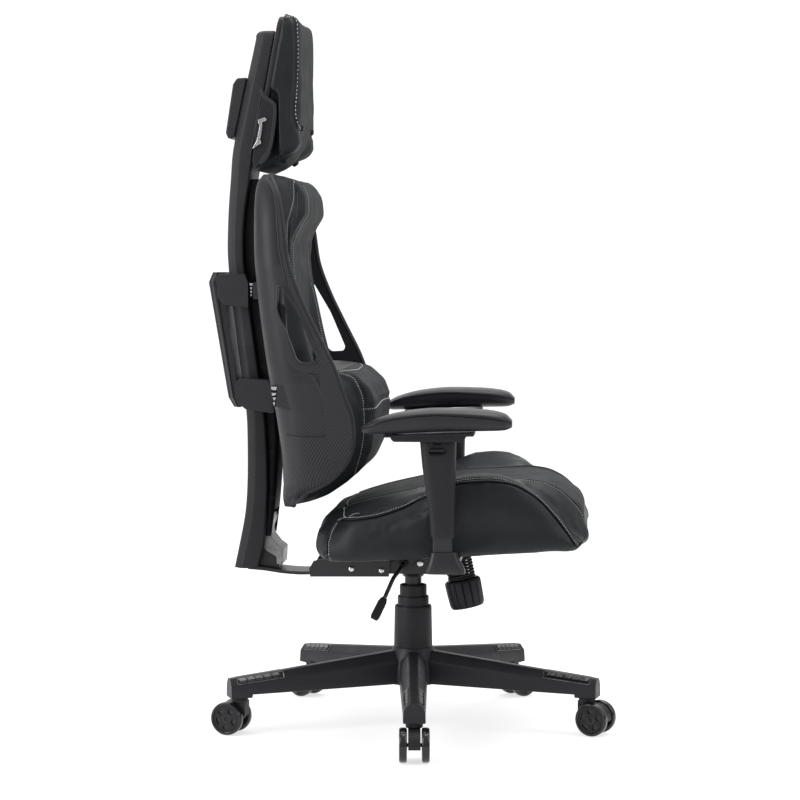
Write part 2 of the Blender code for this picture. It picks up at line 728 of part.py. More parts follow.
def shell_solid(outer, inner, beyond):
    """The shell between two skins, each set in from its outside face, and run on past its two ends."""
    us = spread(-1, 1, 23)
    steps = [0.414, 0.424, 0.437, 0.456, 0.492, 0.545, 0.600, 0.660, 0.725, 0.795, 0.865, 0.930, 0.975,
             0.996, 1.006]
    rings = []
    for z in steps:
        ring = [shell_point(u, z, outer) for u in us]
        rings.append(ring + [shell_point(u, z, inner) for u in reversed(us)])
    if beyond:
        rings.insert(0, [(x, y, z - beyond) for x, y, z in rings[0]])
        rings.append([(x, y, z + beyond) for x, y, z in rings[-1]])
    return triangulated(loft(rings))


def make_shell(finish, back):
    """A thin moulded shell: outside and inside skins joined round the edge."""
    bm = shell_solid(0.0, SHELL_THICKNESS, 0.0)
    shell = piece("back_shell", bm, finish["carbon_plastic"], back)
    opening = [(0.2160, 0.8080), (0.2190, 0.7680), (0.2000, 0.7250), (0.1850, 0.6850),
               (0.1780, 0.6780), (0.1540, 0.6790), (0.1500, 0.6870), (0.1790, 0.7550),
               (0.2100, 0.8080)]
    for side in (-1, 1):
        low, high = sorted((side * 0.20, side * 0.30))
        cut(shell, prism(opening, low, high))
    lug_upper = [(0.2840, 0.8150), (0.2590, 0.8160), (0.2560, 0.7850), (0.2830, 0.7850)]
    lug_lower = [(0.2362, 0.6330), (0.2290, 0.6330), (0.2240, 0.5900), (0.2330, 0.5900)]
    for side in (-1, 1):
        low, high = sorted((side * 0.066, side * 0.094))
        join(shell, prism(lug_upper, low, high))
        join(shell, prism(lug_lower, low, high))


def pad_solid(outline, half, edge, sides=4):
    """A cushion: a side outline extruded across, its ends drawn in over the last stretch."""
    ys = [y for y, _ in outline]
    zs = [z for _, z in outline]
    middle = ((min(ys) + max(ys)) / 2, (min(zs) + max(zs)) / 2)
    rings = []
    steps = [(-half + edge * (1 - math.cos(a)), 1 - edge * (1 - math.sin(a)) / 0.06)
             for a in spread(0, math.pi / 2, sides)]
    for x, keep in steps + [(-x, k) for x, k in reversed(steps)]:
        keep = max(keep, 0.3)
        rings.append([(x, middle[0] + (y - middle[0]) * keep, middle[1] + (z - middle[1]) * keep)
                      for y, z in outline])
    return loft(rings)


def make_back_cushions(finish, back):
    upper = [(0.2540, 0.9990), (0.2350, 1.0110), (0.2120, 1.0050), (0.1950, 0.9930), (0.1830, 0.9680),
             (0.1820, 0.9350), (0.1980, 0.9130), (0.2090, 0.8900), (0.2105, 0.8550), (0.2040, 0.7490),
             (0.1950, 0.7000), (0.1870, 0.6640), (0.2320, 0.6640), (0.2440, 0.7500), (0.2545, 0.8480),
             (0.2560, 0.9300)]
    pads = [piece("back_cushion", between_wings(upper, 0.225), finish["leather"], back)]
    lower = [(0.2300, 0.6630), (0.1450, 0.6630), (0.0880, 0.6550), (0.0640, 0.6330), (0.0570, 0.6050),
             (0.0580, 0.5690), (0.0650, 0.5220), (0.0810, 0.4860), (0.1130, 0.4570), (0.1480, 0.4330),
             (0.1850, 0.4200), (0.2060, 0.4180), (0.2060, 0.5070), (0.2140, 0.5850)]
    pads.append(piece("lumbar_cushion", between_wings(lower, 0.200), finish["leather"], back))
    for pad in pads:
        cut(pad, shell_solid(-0.045, SHELL_THICKNESS + GAP * 2, 0.03))


def wing_room(z):
    """Half the room between the shell's wings at height z."""
    return at(SHELL, min(max(z, CUSHION_LOW), 0.975))[2] - SHELL_THICKNESS - 0.005


def between_wings(outline, rear_side):
    """A cushion between the wings. Its middle follows the outline and its sides step back in a bolster."""
    zs = [z for _, z in outline]
    rear = max(y for y, _ in outline)
    middle = (min(zs) + max(zs)) / 2
    half = [(-1.0, 0.40, 0.90), (-0.97, 0.60, 0.955), (-0.88, 0.72, 0.985), (-0.76, 0.80, 1.0),
            (-0.70, 1.0, 1.0)]  # across, how much of the depth, how much of the height
    rings = []
    for across, depth, height in half + [(-x, d, h) for x, d, h in reversed(half)]:
        ring = []
        for y, z in outline:
            tall = middle + (z - middle) * height
            x = across * wing_room(tall)
            limit = bucket_y(abs(x), tall)
            if y > rear_side:
                deep = limit
            else:
                deep = min(limit - 0.010 - 0.02 * depth, rear - (rear - y) * depth)
            ring.append((x, deep, tall))
        rings.append(ring)
    return triangulated(loft(rings))


def bucket_y(x, z):
    """How far back a cushion may reach inside the shell at x and z."""
    rear, front, half = at(SHELL, min(max(z, CUSHION_LOW), 0.975))
    corner = shell_corner(rear, front)
    clear = SHELL_THICKNESS + 0.0025
    start = half - corner
    if x <= start:
        return rear - clear
    room = max(corner - clear, 0.002)
    over = min((x - start) / room, 1.0)
    return rear - corner + room * math.sqrt(max(1 - over * over, 0.0))


def make_seat_cushion(finish, seat):
    """The seat: a low middle with a rolled front, and a raised bolster along each side."""
    stations = [  # y, middle height, ridge height, half width at the ridge
        (-0.296, 0.4320, 0.3700, 0.236),
        (-0.268, 0.4510, 0.4080, 0.244),
        (-0.234, 0.4590, 0.4460, 0.250),
        (-0.190, 0.4610, 0.4770, 0.254),
        (-0.140, 0.4580, 0.4860, 0.256),
        (-0.085, 0.4560, 0.4760, 0.257),
        (-0.020, 0.4450, 0.4420, 0.258),
        (0.050, 0.4295, 0.4150, 0.256),
        (0.100, 0.4150, 0.4010, 0.250),
        (0.124, 0.4060, 0.3810, 0.240),
    ]
    rings = []
    for y in [-0.296, -0.280, -0.254, -0.228, -0.200, -0.170, -0.140, -0.100, -0.060, -0.020, 0.020,
              0.060, 0.095, 0.124]:
        middle, ridge, half = at(stations, y)
        low = board_z(y)
        side = [(half - 0.008, low), (half + 0.008, low + 0.012), (half + 0.010, low * 0.5 + ridge * 0.5),
                (half + 0.004, ridge - 0.012), (half - 0.014, ridge), (half - 0.060, (ridge + middle) / 2),
                (half - 0.100, middle)]
        ring = side + [(0.0, middle + 0.002)] + [(-x, z) for x, z in reversed(side)]
        rings.append([(x, y, z) for x, z in ring])
    front = drawn_in(rings[0], 0.93, -0.3130, 0.386, 0.80)
    nose = drawn_in(rings[0], 0.84, -0.3235, 0.380, 0.46)
    back = drawn_in(rings[-1], 0.93, 0.1480, 0.362, 0.86)
    tail = drawn_in(rings[-1], 0.82, 0.1630, 0.372, 0.50)
    pad = piece("seat_cushion", loft([nose, front] + rings + [back, tail]), finish["leather"], seat)
    cut(pad, board_solid(GAP))


def drawn_in(ring, wide, y, middle, tall):
    """The next ring beyond a cushion's end, narrower and closer to its middle height."""
    return [(x * wide, y, middle + (z - middle) * tall) for x, _, z in ring]


# ---------------------------------------------------------------- headrest


def slide_y(z, offset=0.0):
    """A line parallel to the headrest's slide, measured from the upper spine's front face."""
    return at(SPINE, 1.060)[1] - SLIDE_LEAN * (z - 1.060) - offset


def make_headrest(finish, slider):
    box_outline = [(upper_rear(z) + 0.0004, z) for z in (1.078, 1.186)]
    box_outline += [(0.3180, 1.1850), (0.3255, 1.1740), (0.3390, 1.0860), (0.3340, 1.0745)]
    slide = piece("headrest_slider", prism(box_outline, -0.046, 0.046), finish["carbon_plastic"], slider)
    neck = [(upper_rear(z) + 0.006, z) for z in (1.093, 1.150)]
    neck += [(slide_y(z, 0.0008), z) for z in (1.150, 1.093)]
    join(slide, prism(neck, -0.0100, 0.0100))
    add_bevel(slide, 0.0025)
    plate = [(slide_y(z, 0.0011), z) for z in (1.040, 1.150)]
    plate += [(slide_y(z, 0.0056), z) for z in (1.150, 1.040)]
    bracket = piece("headrest_bracket", prism(plate, -0.110, 0.110), finish["nylon"], slider)
    cheek = [(0.2600, 1.1520), (0.2540, 1.1400), (0.2385, 1.1310), (0.2350, 1.1190), (0.2350, 1.0960),
             (0.2440, 1.0550), (0.2590, 1.0330), (0.2740, 1.0180), (0.2800, 1.0300), (0.2740, 1.0900)]
    for side in (-1, 1):
        low, high = sorted((side * 0.1035, side * 0.1180))
        join(bracket, prism(cheek, low, high))
    add_bevel(bracket, 0.0015)
    lock = pivot("headrest_lock", (-0.1185, 0.2720, 1.0560), slider)
    lever = [(0.2580, 1.1080), (0.2540, 1.1060), (0.2560, 1.0860), (0.2640, 1.0600), (0.2720, 1.0510),
             (0.2770, 1.0540), (0.2690, 1.0650), (0.2620, 1.0880)]
    piece("headrest_lever", prism(lever, -0.1225, -0.1183), finish["chrome"], lock)
    tilt = pivot("headrest_tilt", (0, HEADREST_Y, HEADREST_Z), slider)
    shell_line = (1.052, 1.291)
    outline = [(slide_y(z, 0.0062), z) for z in shell_line]
    outline += [(slide_y(z, 0.0170), z) for z in reversed(shell_line)]
    shell = piece("headrest_shell", prism(outline, -0.1020, 0.1020), finish["carbon_plastic"], tilt)
    add_bevel(shell, 0.0020)
    cushion = [(slide_y(z, 0.0174), z) for z in (1.012, 1.100, 1.200, 1.288)]
    cushion += [(0.2230, 1.2955), (0.2050, 1.2940), (0.1980, 1.2860), (0.1970, 1.2600), (0.1980, 1.2050),
                (0.1965, 1.1390), (0.1980, 1.0950), (0.2050, 1.0620), (0.2210, 1.0400),
                (0.2450, 1.0230)]
    pad = piece("headrest_cushion", pad_solid(cushion, 0.1300, 0.020), finish["leather"], tilt)
    for side in (-1, 1):
        low, high = sorted((side * 0.1028, side * 0.1500))
        cut(pad, box(low, high, 0.2320, 0.3000, 1.000, 1.158))


# ---------------------------------------------------------------- armrests

ARM_PAD = [  # y, underside, top, half width
    (-0.1915, 0.5725, 0.5835, 0.0200),
    (-0.1800, 0.5655, 0.5945, 0.0340),
    (-0.1500, 0.5650, 0.6025, 0.0430),
    (-0.1000, 0.5645, 0.6045, 0.0460),
    (-0.0500, 0.5640, 0.6025, 0.0460),
    (0.0000, 0.5620, 0.5965, 0.0450),
    (0.0400, 0.5610, 0.5870, 0.0400),
    (0.0580, 0.5620, 0.5790, 0.0300),
    (0.0670, 0.5645, 0.5700, 0.0160),
]


def make_arm(finish, seat, side, setback):
    """One armrest, modelled for the sitter's right (-X) and mirrored for the left."""
    name = "right" if side < 0 else "left"
    shift = Matrix.Translation((0, setback, 0))

    def ready(bm):
        bm.transform(shift)
        return bm if side < 0 else mirrored(bm)

    def spot(x, y, z):
        return (x if side < 0 else -x, y + setback, z)

    post = loft([[(-ARM_X + x, ARM_Y + y, z) for x, y in
                  ((-0.011, -0.0165), (0.011, -0.0165), (0.011, 0.0165), (-0.011, 0.0165))]
                 for z in (0.340, 0.500)])
    rings = []
    for z, y0, y1, half in ((0.3190, -0.1085, -0.0425, 0.0190), (0.3300, -0.1060, -0.0430, 0.0190),
                            (0.3450, -0.0970, -0.0500, 0.0175), (0.3560, -0.0920, -0.0545, 0.0150)):
        rings.append([(-ARM_X + x, y, z) for x, y in
                      ((-half, y0), (half, y0), (half, y1), (-half, y1))])
    foot = piece(f"arm_foot_{name}", ready(loft(rings)), finish["steel"], seat)
    join(foot, ready(post))
    strip = loft([[(x, y, board_z(y + setback) + z) for y, z in
                   ((-0.100, -0.0100), (-0.050, -0.0100), (-0.050, -GAP), (-0.100, -GAP))]
                  for x in (-0.290, -PLATE_HALF - 0.0006)])
    join(foot, ready(strip))
    add_bevel(foot, 0.0012)

    slide = pivot(f"arm_slide_{name}", spot(-ARM_X, ARM_Y, 0.382), seat)
    rings = []
    for z, y0, y1, half in ((0.3820, -0.0930, -0.0520, 0.0165), (0.4200, -0.0938, -0.0490, 0.0175),
                            (0.5000, -0.0950, -0.0380, 0.0190), (0.5480, -0.0955, -0.0335, 0.0195)):
        ring = superellipse(half, y0, y1, 20, 3.2)
        rings.append([(-ARM_X + x, y, z) for x, y in ring])
    cover = piece(f"arm_sleeve_{name}", ready(loft(rings)), finish["nylon"], slide)
    cut(cover, ready(box(-ARM_X - 0.0118, -ARM_X + 0.0118, ARM_Y - 0.0173, ARM_Y + 0.0173, 0.37, 0.535)))
    cut(cover, ready(box(-0.3300, -0.3125, -0.0790, -0.0500, 0.5270, 0.5500)))
    trigger = pivot(f"arm_trigger_slide_{name}", spot(-0.3160, -0.0645, 0.5310), slide)
    button = box(-0.3240, -0.3130, -0.0775, -0.0515, 0.5300, 0.5345)
    catch = piece(f"arm_trigger_{name}", ready(button), finish["nylon"], trigger)
    join(catch, ready(box(-0.3175, -0.3130, -0.0740, -0.0550, 0.5300, 0.5420)))
    add_bevel(catch, 0.0008)

    swivel = pivot(f"arm_swivel_{name}", spot(-ARM_X, ARM_Y, 0.5485), slide)
    plate = [(-0.1100, 0.5500), (-0.1000, 0.5484), (0.0120, 0.5484), (0.0200, 0.5500), (0.0260, 0.5545),
             (0.0260, 0.5603), (-0.0100, 0.5611), (-0.1280, 0.5640), (-0.1280, 0.5570)]
    plate = prism([(y, z) for y, z in plate], -PAD_X - 0.028, -PAD_X + 0.036)
    piece(f"arm_carriage_{name}", ready(plate), finish["nylon"], swivel)

    pad_slide = pivot(f"arm_pad_slide_{name}", spot(-PAD_X, ARM_Y, 0.5600), swivel)
    rings = []
    for y in (-0.1915, -0.1860, -0.1740, -0.1500, -0.1150, -0.0750, -0.0350, 0.0050, 0.0350, 0.0520,
              0.0620, 0.0670):
        low, high, half = at(ARM_PAD, y)
        rings.append([(-PAD_X + x, y, z) for x, z in superellipse(half, low, high, 16, 2.6)])
    piece(f"arm_pad_{name}", ready(loft(rings)), finish["rubber"], pad_slide)


# ---------------------------------------------------------------- the chair


def build():
    empty_scene()
    finish = make_materials()
    root = pivot("floor", (0, 0, 0))
    make_base(finish, root)
    make_casters(finish, root)
    lift = make_column(finish, root)
    make_mechanism(finish, lift)
    seat = pivot("seat_tilt", (0, TILT_Y, TILT_Z), lift)
    make_tension(finish, seat)
    make_seat_frame(finish, seat)
    make_spine(finish, seat)
    make_back_frame(finish, seat)
    make_seat_cushion(finish, seat)
    back = pivot("back_flex", (0, FLEX_Y, FLEX_Z), seat)
    make_shell(finish, back)
    make_back_cushions(finish, back)
    slider = pivot("headrest_slide", (0, 0.300, 1.130), seat)
    make_headrest(finish, slider)
    make_arm(finish, seat, -1, 0.0)
    make_arm(finish, seat, 1, LEFT_ARM_SETBACK)


build()
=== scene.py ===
"""The finished look of a gaming chair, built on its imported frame. Metres, +Z up, the floor at z = 0.
The sitter faces -Y, so -X is the sitter's right."""

import json
import math

import bmesh
import bpy
import numpy as np
from mathutils import Matrix, Vector
from mathutils.bvhtree import BVHTree
from mathutils.kdtree import KDTree

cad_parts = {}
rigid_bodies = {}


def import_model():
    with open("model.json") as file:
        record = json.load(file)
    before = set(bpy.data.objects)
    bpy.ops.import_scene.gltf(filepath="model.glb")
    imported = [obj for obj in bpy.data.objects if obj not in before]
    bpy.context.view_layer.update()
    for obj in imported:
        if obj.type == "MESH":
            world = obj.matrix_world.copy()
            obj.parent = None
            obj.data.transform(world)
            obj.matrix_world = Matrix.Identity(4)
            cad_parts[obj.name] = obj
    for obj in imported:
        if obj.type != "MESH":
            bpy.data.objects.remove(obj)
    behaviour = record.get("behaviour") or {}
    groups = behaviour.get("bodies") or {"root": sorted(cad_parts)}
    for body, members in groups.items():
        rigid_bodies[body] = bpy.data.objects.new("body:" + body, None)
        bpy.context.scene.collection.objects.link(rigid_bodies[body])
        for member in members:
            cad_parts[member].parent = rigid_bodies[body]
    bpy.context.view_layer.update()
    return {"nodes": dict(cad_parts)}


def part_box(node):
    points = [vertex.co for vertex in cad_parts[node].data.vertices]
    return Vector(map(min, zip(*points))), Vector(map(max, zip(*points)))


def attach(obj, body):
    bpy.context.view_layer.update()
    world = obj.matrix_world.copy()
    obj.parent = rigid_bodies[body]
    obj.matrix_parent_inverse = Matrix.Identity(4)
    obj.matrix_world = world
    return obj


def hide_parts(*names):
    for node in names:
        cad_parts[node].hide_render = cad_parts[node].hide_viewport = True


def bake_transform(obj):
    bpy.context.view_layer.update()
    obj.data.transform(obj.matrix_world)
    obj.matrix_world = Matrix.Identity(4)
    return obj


for item in list(bpy.data.objects):
    bpy.data.objects.remove(item, do_unlink=True)
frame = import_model()
NODES = frame["nodes"]
SCENE = bpy.context.scene
SCENE.view_settings.view_transform = "Standard"
SIDES = ((-1, "right", 0.0), (1, "left", 0.015))  # the left armrest is bolted 15 mm further back

# ---------------------------------------------------------------- camera, light and floor


def make_camera():
    data = bpy.data.cameras.new("camera")
    camera = bpy.data.objects.new("camera", data)
    SCENE.collection.objects.link(camera)
    data.sensor_width = 36
    data.lens = 105.46
    camera.location = (-4.28866, -0.31305, 0.859)
    camera.rotation_euler = (math.radians(90 - 3.467), 0, math.radians(4.5 - 90))
    SCENE.camera = camera


def area_light(name, place, target, size, power):
    data = bpy.data.lights.new(name, "AREA")
    data.shape = "RECTANGLE"
    data.size, data.size_y = size
    data.energy = power
    lamp = bpy.data.objects.new(name, data)
    SCENE.collection.objects.link(lamp)
    lamp.location = place
    lamp.rotation_euler = (Vector(target) - Vector(place)).to_track_quat("-Z", "Y").to_euler()


def make_light():
    world = bpy.data.worlds.new("studio")
    SCENE.world = world
    world.use_nodes = True
    tree = world.node_tree
    sky = tree.nodes["Background"]
    sky.inputs["Color"].default_value = (1.0, 1.0, 1.0, 1.0)
    split = add(tree, "ShaderNodeSeparateXYZ")
    tree.links.new(add(tree, "ShaderNodeTexCoord").outputs["Generated"], split.inputs[0])
    ahead = between(tree, split.outputs[0], 0.0, 0.50, -0.2, 0.8)
    ahead = maths(tree, "MULTIPLY", ahead, between(tree, split.outputs[1], 0.1, 1.0, -0.5, -0.1))
    ahead = maths(tree, "ADD", ahead, 0.52)
    above = between(tree, split.outputs[2], 0.0, 0.40, 0.1, 0.9)
    room = maths(tree, "ADD", ahead, above)
    seen = add(tree, "ShaderNodeLightPath").outputs["Is Camera Ray"]
    tree.links.new(maths(tree, "MAXIMUM", room, maths(tree, "MULTIPLY", seen, 1.1)), sky.inputs["Strength"])
    area_light("front_window", (-1.2, -3.0, 2.4), (0, 0, 0.6), (2.6, 2.6), 40)
    area_light("ceiling", (0.3, -0.4, 3.4), (0, 0, 0.5), (2.6, 2.6), 82)
    area_light("rear_window", (-1.9, 2.8, 1.7), (0, 0.1, 0.7), (1.8, 2.4), 85)


def make_floor():
    bm = bmesh.new()
    bmesh.ops.create_grid(bm, x_segments=4, y_segments=4, size=14)
    mesh = bpy.data.meshes.new("studio_floor")
    bm.to_mesh(mesh)
    bm.free()
    floor = bpy.data.objects.new("studio_floor", mesh)
    SCENE.collection.objects.link(floor)
    floor.location.z = -0.0004
    made, _, shader = surface("studio_floor", (0.45, 0.45, 0.45), 1.0, specular=0.0)
    shader.inputs["Emission Color"].default_value = (1.0, 1.0, 1.0, 1.0)
    shader.inputs["Emission Strength"].default_value = 0.66
    mesh.materials.append(made)


# ---------------------------------------------------------------- materials


def surface(name, colour, roughness, metallic=0.0, coat=0.0, specular=0.5):
    made = bpy.data.materials.new(name)
    made.use_nodes = True
    tree = made.node_tree
    shader = tree.nodes["Principled BSDF"]
    shader.inputs["Base Color"].default_value = (*colour, 1.0)
    shader.inputs["Roughness"].default_value = roughness
    shader.inputs["Metallic"].default_value = metallic
    shader.inputs["Coat Weight"].default_value = coat
    shader.inputs["Coat Roughness"].default_value = 0.12
    shader.inputs["Specular IOR Level"].default_value = specular
    return made, tree, shader


def add(tree, kind, **values):
    made = tree.nodes.new(kind)
    for key, value in values.items():
        setattr(made, key, value)
    return made


def maths(tree, operation, *terms):
    made = add(tree, "ShaderNodeMath", operation=operation)
    for socket, term in zip(made.inputs, terms):
        if isinstance(term, (int, float)):
            socket.default_value = term
        else:
            tree.links.new(term, socket)
    return made.outputs[0]


def position(tree, stretch=(1, 1, 1)):
    place = add(tree, "ShaderNodeTexCoord").outputs["Object"]
    if stretch == (1, 1, 1):
        return place
    scaled = add(tree, "ShaderNodeVectorMath", operation="MULTIPLY")
    scaled.inputs[1].default_value = stretch
    tree.links.new(place, scaled.inputs[0])
    return scaled.outputs[0]


def noise(tree, place, scale, detail=3.0):
    made = add(tree, "ShaderNodeTexNoise")
    made.inputs["Scale"].default_value = scale
    made.inputs["Detail"].default_value = detail
    tree.links.new(place, made.inputs["Vector"])
    return made.outputs["Fac"]


def blend_colour(tree, shader, factor, dark, light):
    mix = add(tree, "ShaderNodeMix", data_type="RGBA")
    mix.inputs["A"].default_value = (*dark, 1.0)
    mix.inputs["B"].default_value = (*light, 1.0)
    tree.links.new(factor, mix.inputs["Factor"])
    tree.links.new(mix.outputs["Result"], shader.inputs["Base Color"])


def between(tree, factor, low, high, start=0.3, stop=0.7):
    """A number that runs from low to high as the factor goes from start to stop."""
    made = add(tree, "ShaderNodeMapRange")
    for name, value in (("From Min", start), ("From Max", stop), ("To Min", low), ("To Max", high)):
        made.inputs[name].default_value = value
    tree.links.new(factor, made.inputs["Value"])
    return made.outputs["Result"]


def relief(tree, shader, height, depth, strength=1.0):
    bump = add(tree, "ShaderNodeBump")
    bump.inputs["Strength"].default_value = strength
    bump.inputs["Distance"].default_value = depth
    tree.links.new(height, bump.inputs["Height"])
    tree.links.new(bump.outputs["Normal"], shader.inputs["Normal"])


def worn(tree, shader, dark, light, scale, rough):
    """Soft patches of colour and gloss."""
    place = position(tree)
    patches = noise(tree, place, scale)
    blend_colour(tree, shader, between(tree, patches, 0, 1), dark, light)
    tree.links.new(between(tree, noise(tree, place, scale * 2.3), *rough), shader.inputs["Roughness"])
    return place


def leather(name, dark, light, rough):
    made, tree, shader = surface(name, dark, rough[0], specular=0.20)
    place = worn(tree, shader, dark, light, 14, rough)
    pores = add(tree, "ShaderNodeTexVoronoi", feature="SMOOTH_F1")
    pores.inputs["Scale"].default_value = 780
    tree.links.new(place, pores.inputs["Vector"])
    creases = noise(tree, place, 55, 4)
    height = maths(tree, "ADD", maths(tree, "MULTIPLY", pores.outputs["Distance"], 0.5), creases)
    relief(tree, shader, height, 0.0006, 0.55)
    return made


def moulded(name, dark, light, rough, grain=1400, depth=0.00012, coat=0.0):
    made, tree, shader = surface(name, dark, rough[0], coat=coat, specular=0.22)
    place = worn(tree, shader, dark, light, 9, rough)
    relief(tree, shader, noise(tree, place, grain, 2), depth, 0.6)
    return made


TOW = 0.00145  # the width of one strand of the twill


def twill(name, dark, light, rough):
    """A two-over-two twill moulded into plastic: rounded strands that step over by one in each row."""
    made, tree, shader = surface(name, dark, rough[0], coat=0.05, specular=0.28)
    split = add(tree, "ShaderNodeSeparateXYZ")
    tree.links.new(position(tree), split.inputs[0])
    x, y, z = split.outputs
    across = maths(tree, "MULTIPLY", maths(tree, "SUBTRACT", y, maths(tree, "ABSOLUTE", x)), 1 / TOW)
    along = maths(tree, "MULTIPLY", z, 1 / TOW)
    cells = maths(tree, "ADD", maths(tree, "FLOOR", across), maths(tree, "FLOOR", along))
    over = maths(tree, "LESS_THAN", maths(tree, "FLOORED_MODULO", cells, 4.0), 1.5)
    rounds = []
    for line in (across, along):
        off = maths(tree, "SUBTRACT", maths(tree, "MULTIPLY", maths(tree, "FRACT", line), 2.0), 1.0)
        rounds.append(maths(tree, "SUBTRACT", 1.0, maths(tree, "MULTIPLY", off, off)))
    mix = add(tree, "ShaderNodeMix", data_type="FLOAT")
    tree.links.new(over, mix.inputs["Factor"])
    tree.links.new(rounds[0], mix.inputs["A"])
    tree.links.new(rounds[1], mix.inputs["B"])
    relief(tree, shader, mix.outputs["Result"], 0.00032, 0.9)
    blend_colour(tree, shader, over, dark, light)
    gloss = maths(tree, "ADD", maths(tree, "MULTIPLY", over, rough[0] - rough[1]), rough[1])
    tree.links.new(gloss, shader.inputs["Roughness"])
    return made


def metal(name, dark, light, rough, stretch=(40, 900, 900), metallic=1.0):
    made, tree, shader = surface(name, light, rough[0], metallic=metallic)
    brushed = noise(tree, position(tree, stretch), 1.0, 2)
    blend_colour(tree, shader, between(tree, brushed, 0, 1), dark, light)
    tree.links.new(between(tree, brushed, *rough), shader.inputs["Roughness"])
    relief(tree, shader, brushed, 0.00004, 0.4)
    return made


def make_finishes():
    grey = lambda v: (v * 1.03, v, v * 1.22)
    hide = lambda v: (v * 0.84, v, v * 1.12)
    plain = lambda v: (v, v, v)
    return {
        "leather": leather("soft_leather", hide(0.0078), hide(0.0118), (0.40, 0.52)),
        # panel: rougher than the leather, and a shade paler; the paleness is painted light on the panels that
        # face the lamps
        "panel": leather("lit_panel_leather", hide(0.0085), hide(0.0128), (0.62, 0.74)),
        # Dark cords: a real cord along the seat's edge, and on the seat's panel seams a painted seam shadow
        "piping_and_seam_shade": leather("piping_and_seam_shade_leather", hide(0.0030), hide(0.0050), (0.30, 0.40)),
        "trim": leather("trim_leather", hide(0.0300), hide(0.0420), (0.36, 0.46)),
        "thread": moulded("stitch_thread", plain(0.34), plain(0.50), (0.60, 0.75), 3000),
        "nylon": moulded("moulded_nylon", grey(0.0080), grey(0.0125), (0.42, 0.54)),
        "smooth": moulded("smooth_plastic", grey(0.0120), grey(0.0170), (0.38, 0.50), 2200, 0.00006),
        "channel": moulded("matt_channel", grey(0.0022), grey(0.0040), (0.62, 0.75)),
        "base": moulded("base_nylon", grey(0.0112), grey(0.0160), (0.38, 0.50)),
        "carbon": twill("carbon_twill", grey(0.0040), grey(0.0215), (0.36, 0.52)),
        "rubber": moulded("pad_rubber", grey(0.0100), grey(0.0150), (0.34, 0.44), 1800),
        "gloss": moulded("gloss_black", grey(0.0045), grey(0.0070), (0.12, 0.22), 900, 0.00003, 0.4),
        "steel": metal("black_steel", grey(0.0070), grey(0.0115), (0.34, 0.46), metallic=0.25),
        "aluminium": metal("cast_aluminium", plain(0.12), plain(0.24), (0.34, 0.50), (60, 60, 60)),
        "silver": metal("grey_tile", plain(0.10), plain(0.22), (0.22, 0.38), (120, 120, 120), 0.6),
        "chrome": metal("chrome_plate", plain(0.45), plain(0.60), (0.10, 0.24), (200, 200, 200)),
        "board": moulded("plywood_edge", (0.035, 0.028, 0.022), (0.06, 0.05, 0.04), (0.6, 0.75), 300),
    }


FINISH = make_finishes()

# ---------------------------------------------------------------- curves and outlines


def smooth(points, steps=4, closed=False):
    """A Catmull-Rom curve through the points."""
    p = np.array(points, float)
    if closed:
        p = np.vstack([p[-1:], p, p[:2]])
    else:
        p = np.vstack([2 * p[0] - p[1], p, 2 * p[-1] - p[-2]])
    made = []
    for a, b, c, d in zip(p, p[1:], p[2:], p[3:]):
        for t in np.arange(steps) / steps:
            made.append(0.5 * (2 * b + (c - a) * t + (2 * a - 5 * b + 4 * c - d) * t * t
                               + (3 * b - a - 3 * c + d) * t**3))
    if not closed:
        made.append(p[-2])
    return [tuple(map(float, q)) for q in made]


def resample(points, spacing, closed=False):
    """Points a near-even distance apart along a line."""
    p = np.array(points, float)
    if closed:
        p = np.vstack([p, p[:1]])
    length = np.concatenate([[0], np.cumsum(np.linalg.norm(np.diff(p, axis=0), axis=1))])
    count = max(int(round(length[-1] / spacing)), 2)
    where = np.linspace(0, length[-1], count + 1)
    made = np.stack([np.interp(where, length, p[:, n]) for n in range(p.shape[1])], axis=1)
    return made[:-1] if closed else made


def at(stations, key):
    """Each value of the stations at key, their first number, along a smooth curve."""
    if key <= stations[0][0]:
        return stations[0][1:]
    for i in range(len(stations) - 1):
        low, high = stations[i], stations[i + 1]
        if key <= high[0]:
            before = stations[max(i - 1, 0)]
            after = stations[min(i + 2, len(stations) - 1)]
            span = high[0] - low[0]
            t = (key - low[0]) / span
            values = []
            for n in range(1, len(low)):
                m0 = (high[n] - before[n]) / (high[0] - before[0]) * span
                m1 = (after[n] - low[n]) / (after[0] - low[0]) * span
                values.append((2 * t**3 - 3 * t**2 + 1) * low[n] + (t**3 - 2 * t**2 + t) * m0
                              + (3 * t**2 - 2 * t**3) * high[n] + (t**3 - t**2) * m1)
            return tuple(values)
    return stations[-1][1:]


def spread(low, high, count):
    return [low + (high - low) * i / (count - 1) for i in range(count)]


def circle(radius, sides):
    return [(radius * math.cos(2 * math.pi * i / sides), radius * math.sin(2 * math.pi * i / sides))
            for i in range(sides)]


def superellipse(half_x, low, high, sides, power):
    middle, half_z = (low + high) / 2, (high - low) / 2
    made = []
    for c, s in circle(1.0, sides):
        made.append((half_x * math.copysign(abs(c) ** (2 / power), c),
                     middle + half_z * math.copysign(abs(s) ** (2 / power), s)))
    return made


def fillet(points, radius, steps=4):
    """A closed outline with its corners rounded."""
    made = []
    count = len(points)
    for i in range(count):
        here = Vector(points[i])
        to_last, to_next = Vector(points[i - 1]) - here, Vector(points[(i + 1) % count]) - here
        size = min(radius, to_last.length * 0.45, to_next.length * 0.45)
        start, end = here + to_last.normalized() * size, here + to_next.normalized() * size
        for t in spread(0, 1, steps + 1):
            made.append(tuple(start * (1 - t) ** 2 + here * 2 * t * (1 - t) + end * t * t))
    return made


# ---------------------------------------------------------------- solids


def outward(bm):
    bmesh.ops.recalc_face_normals(bm, faces=bm.faces)
    return bm


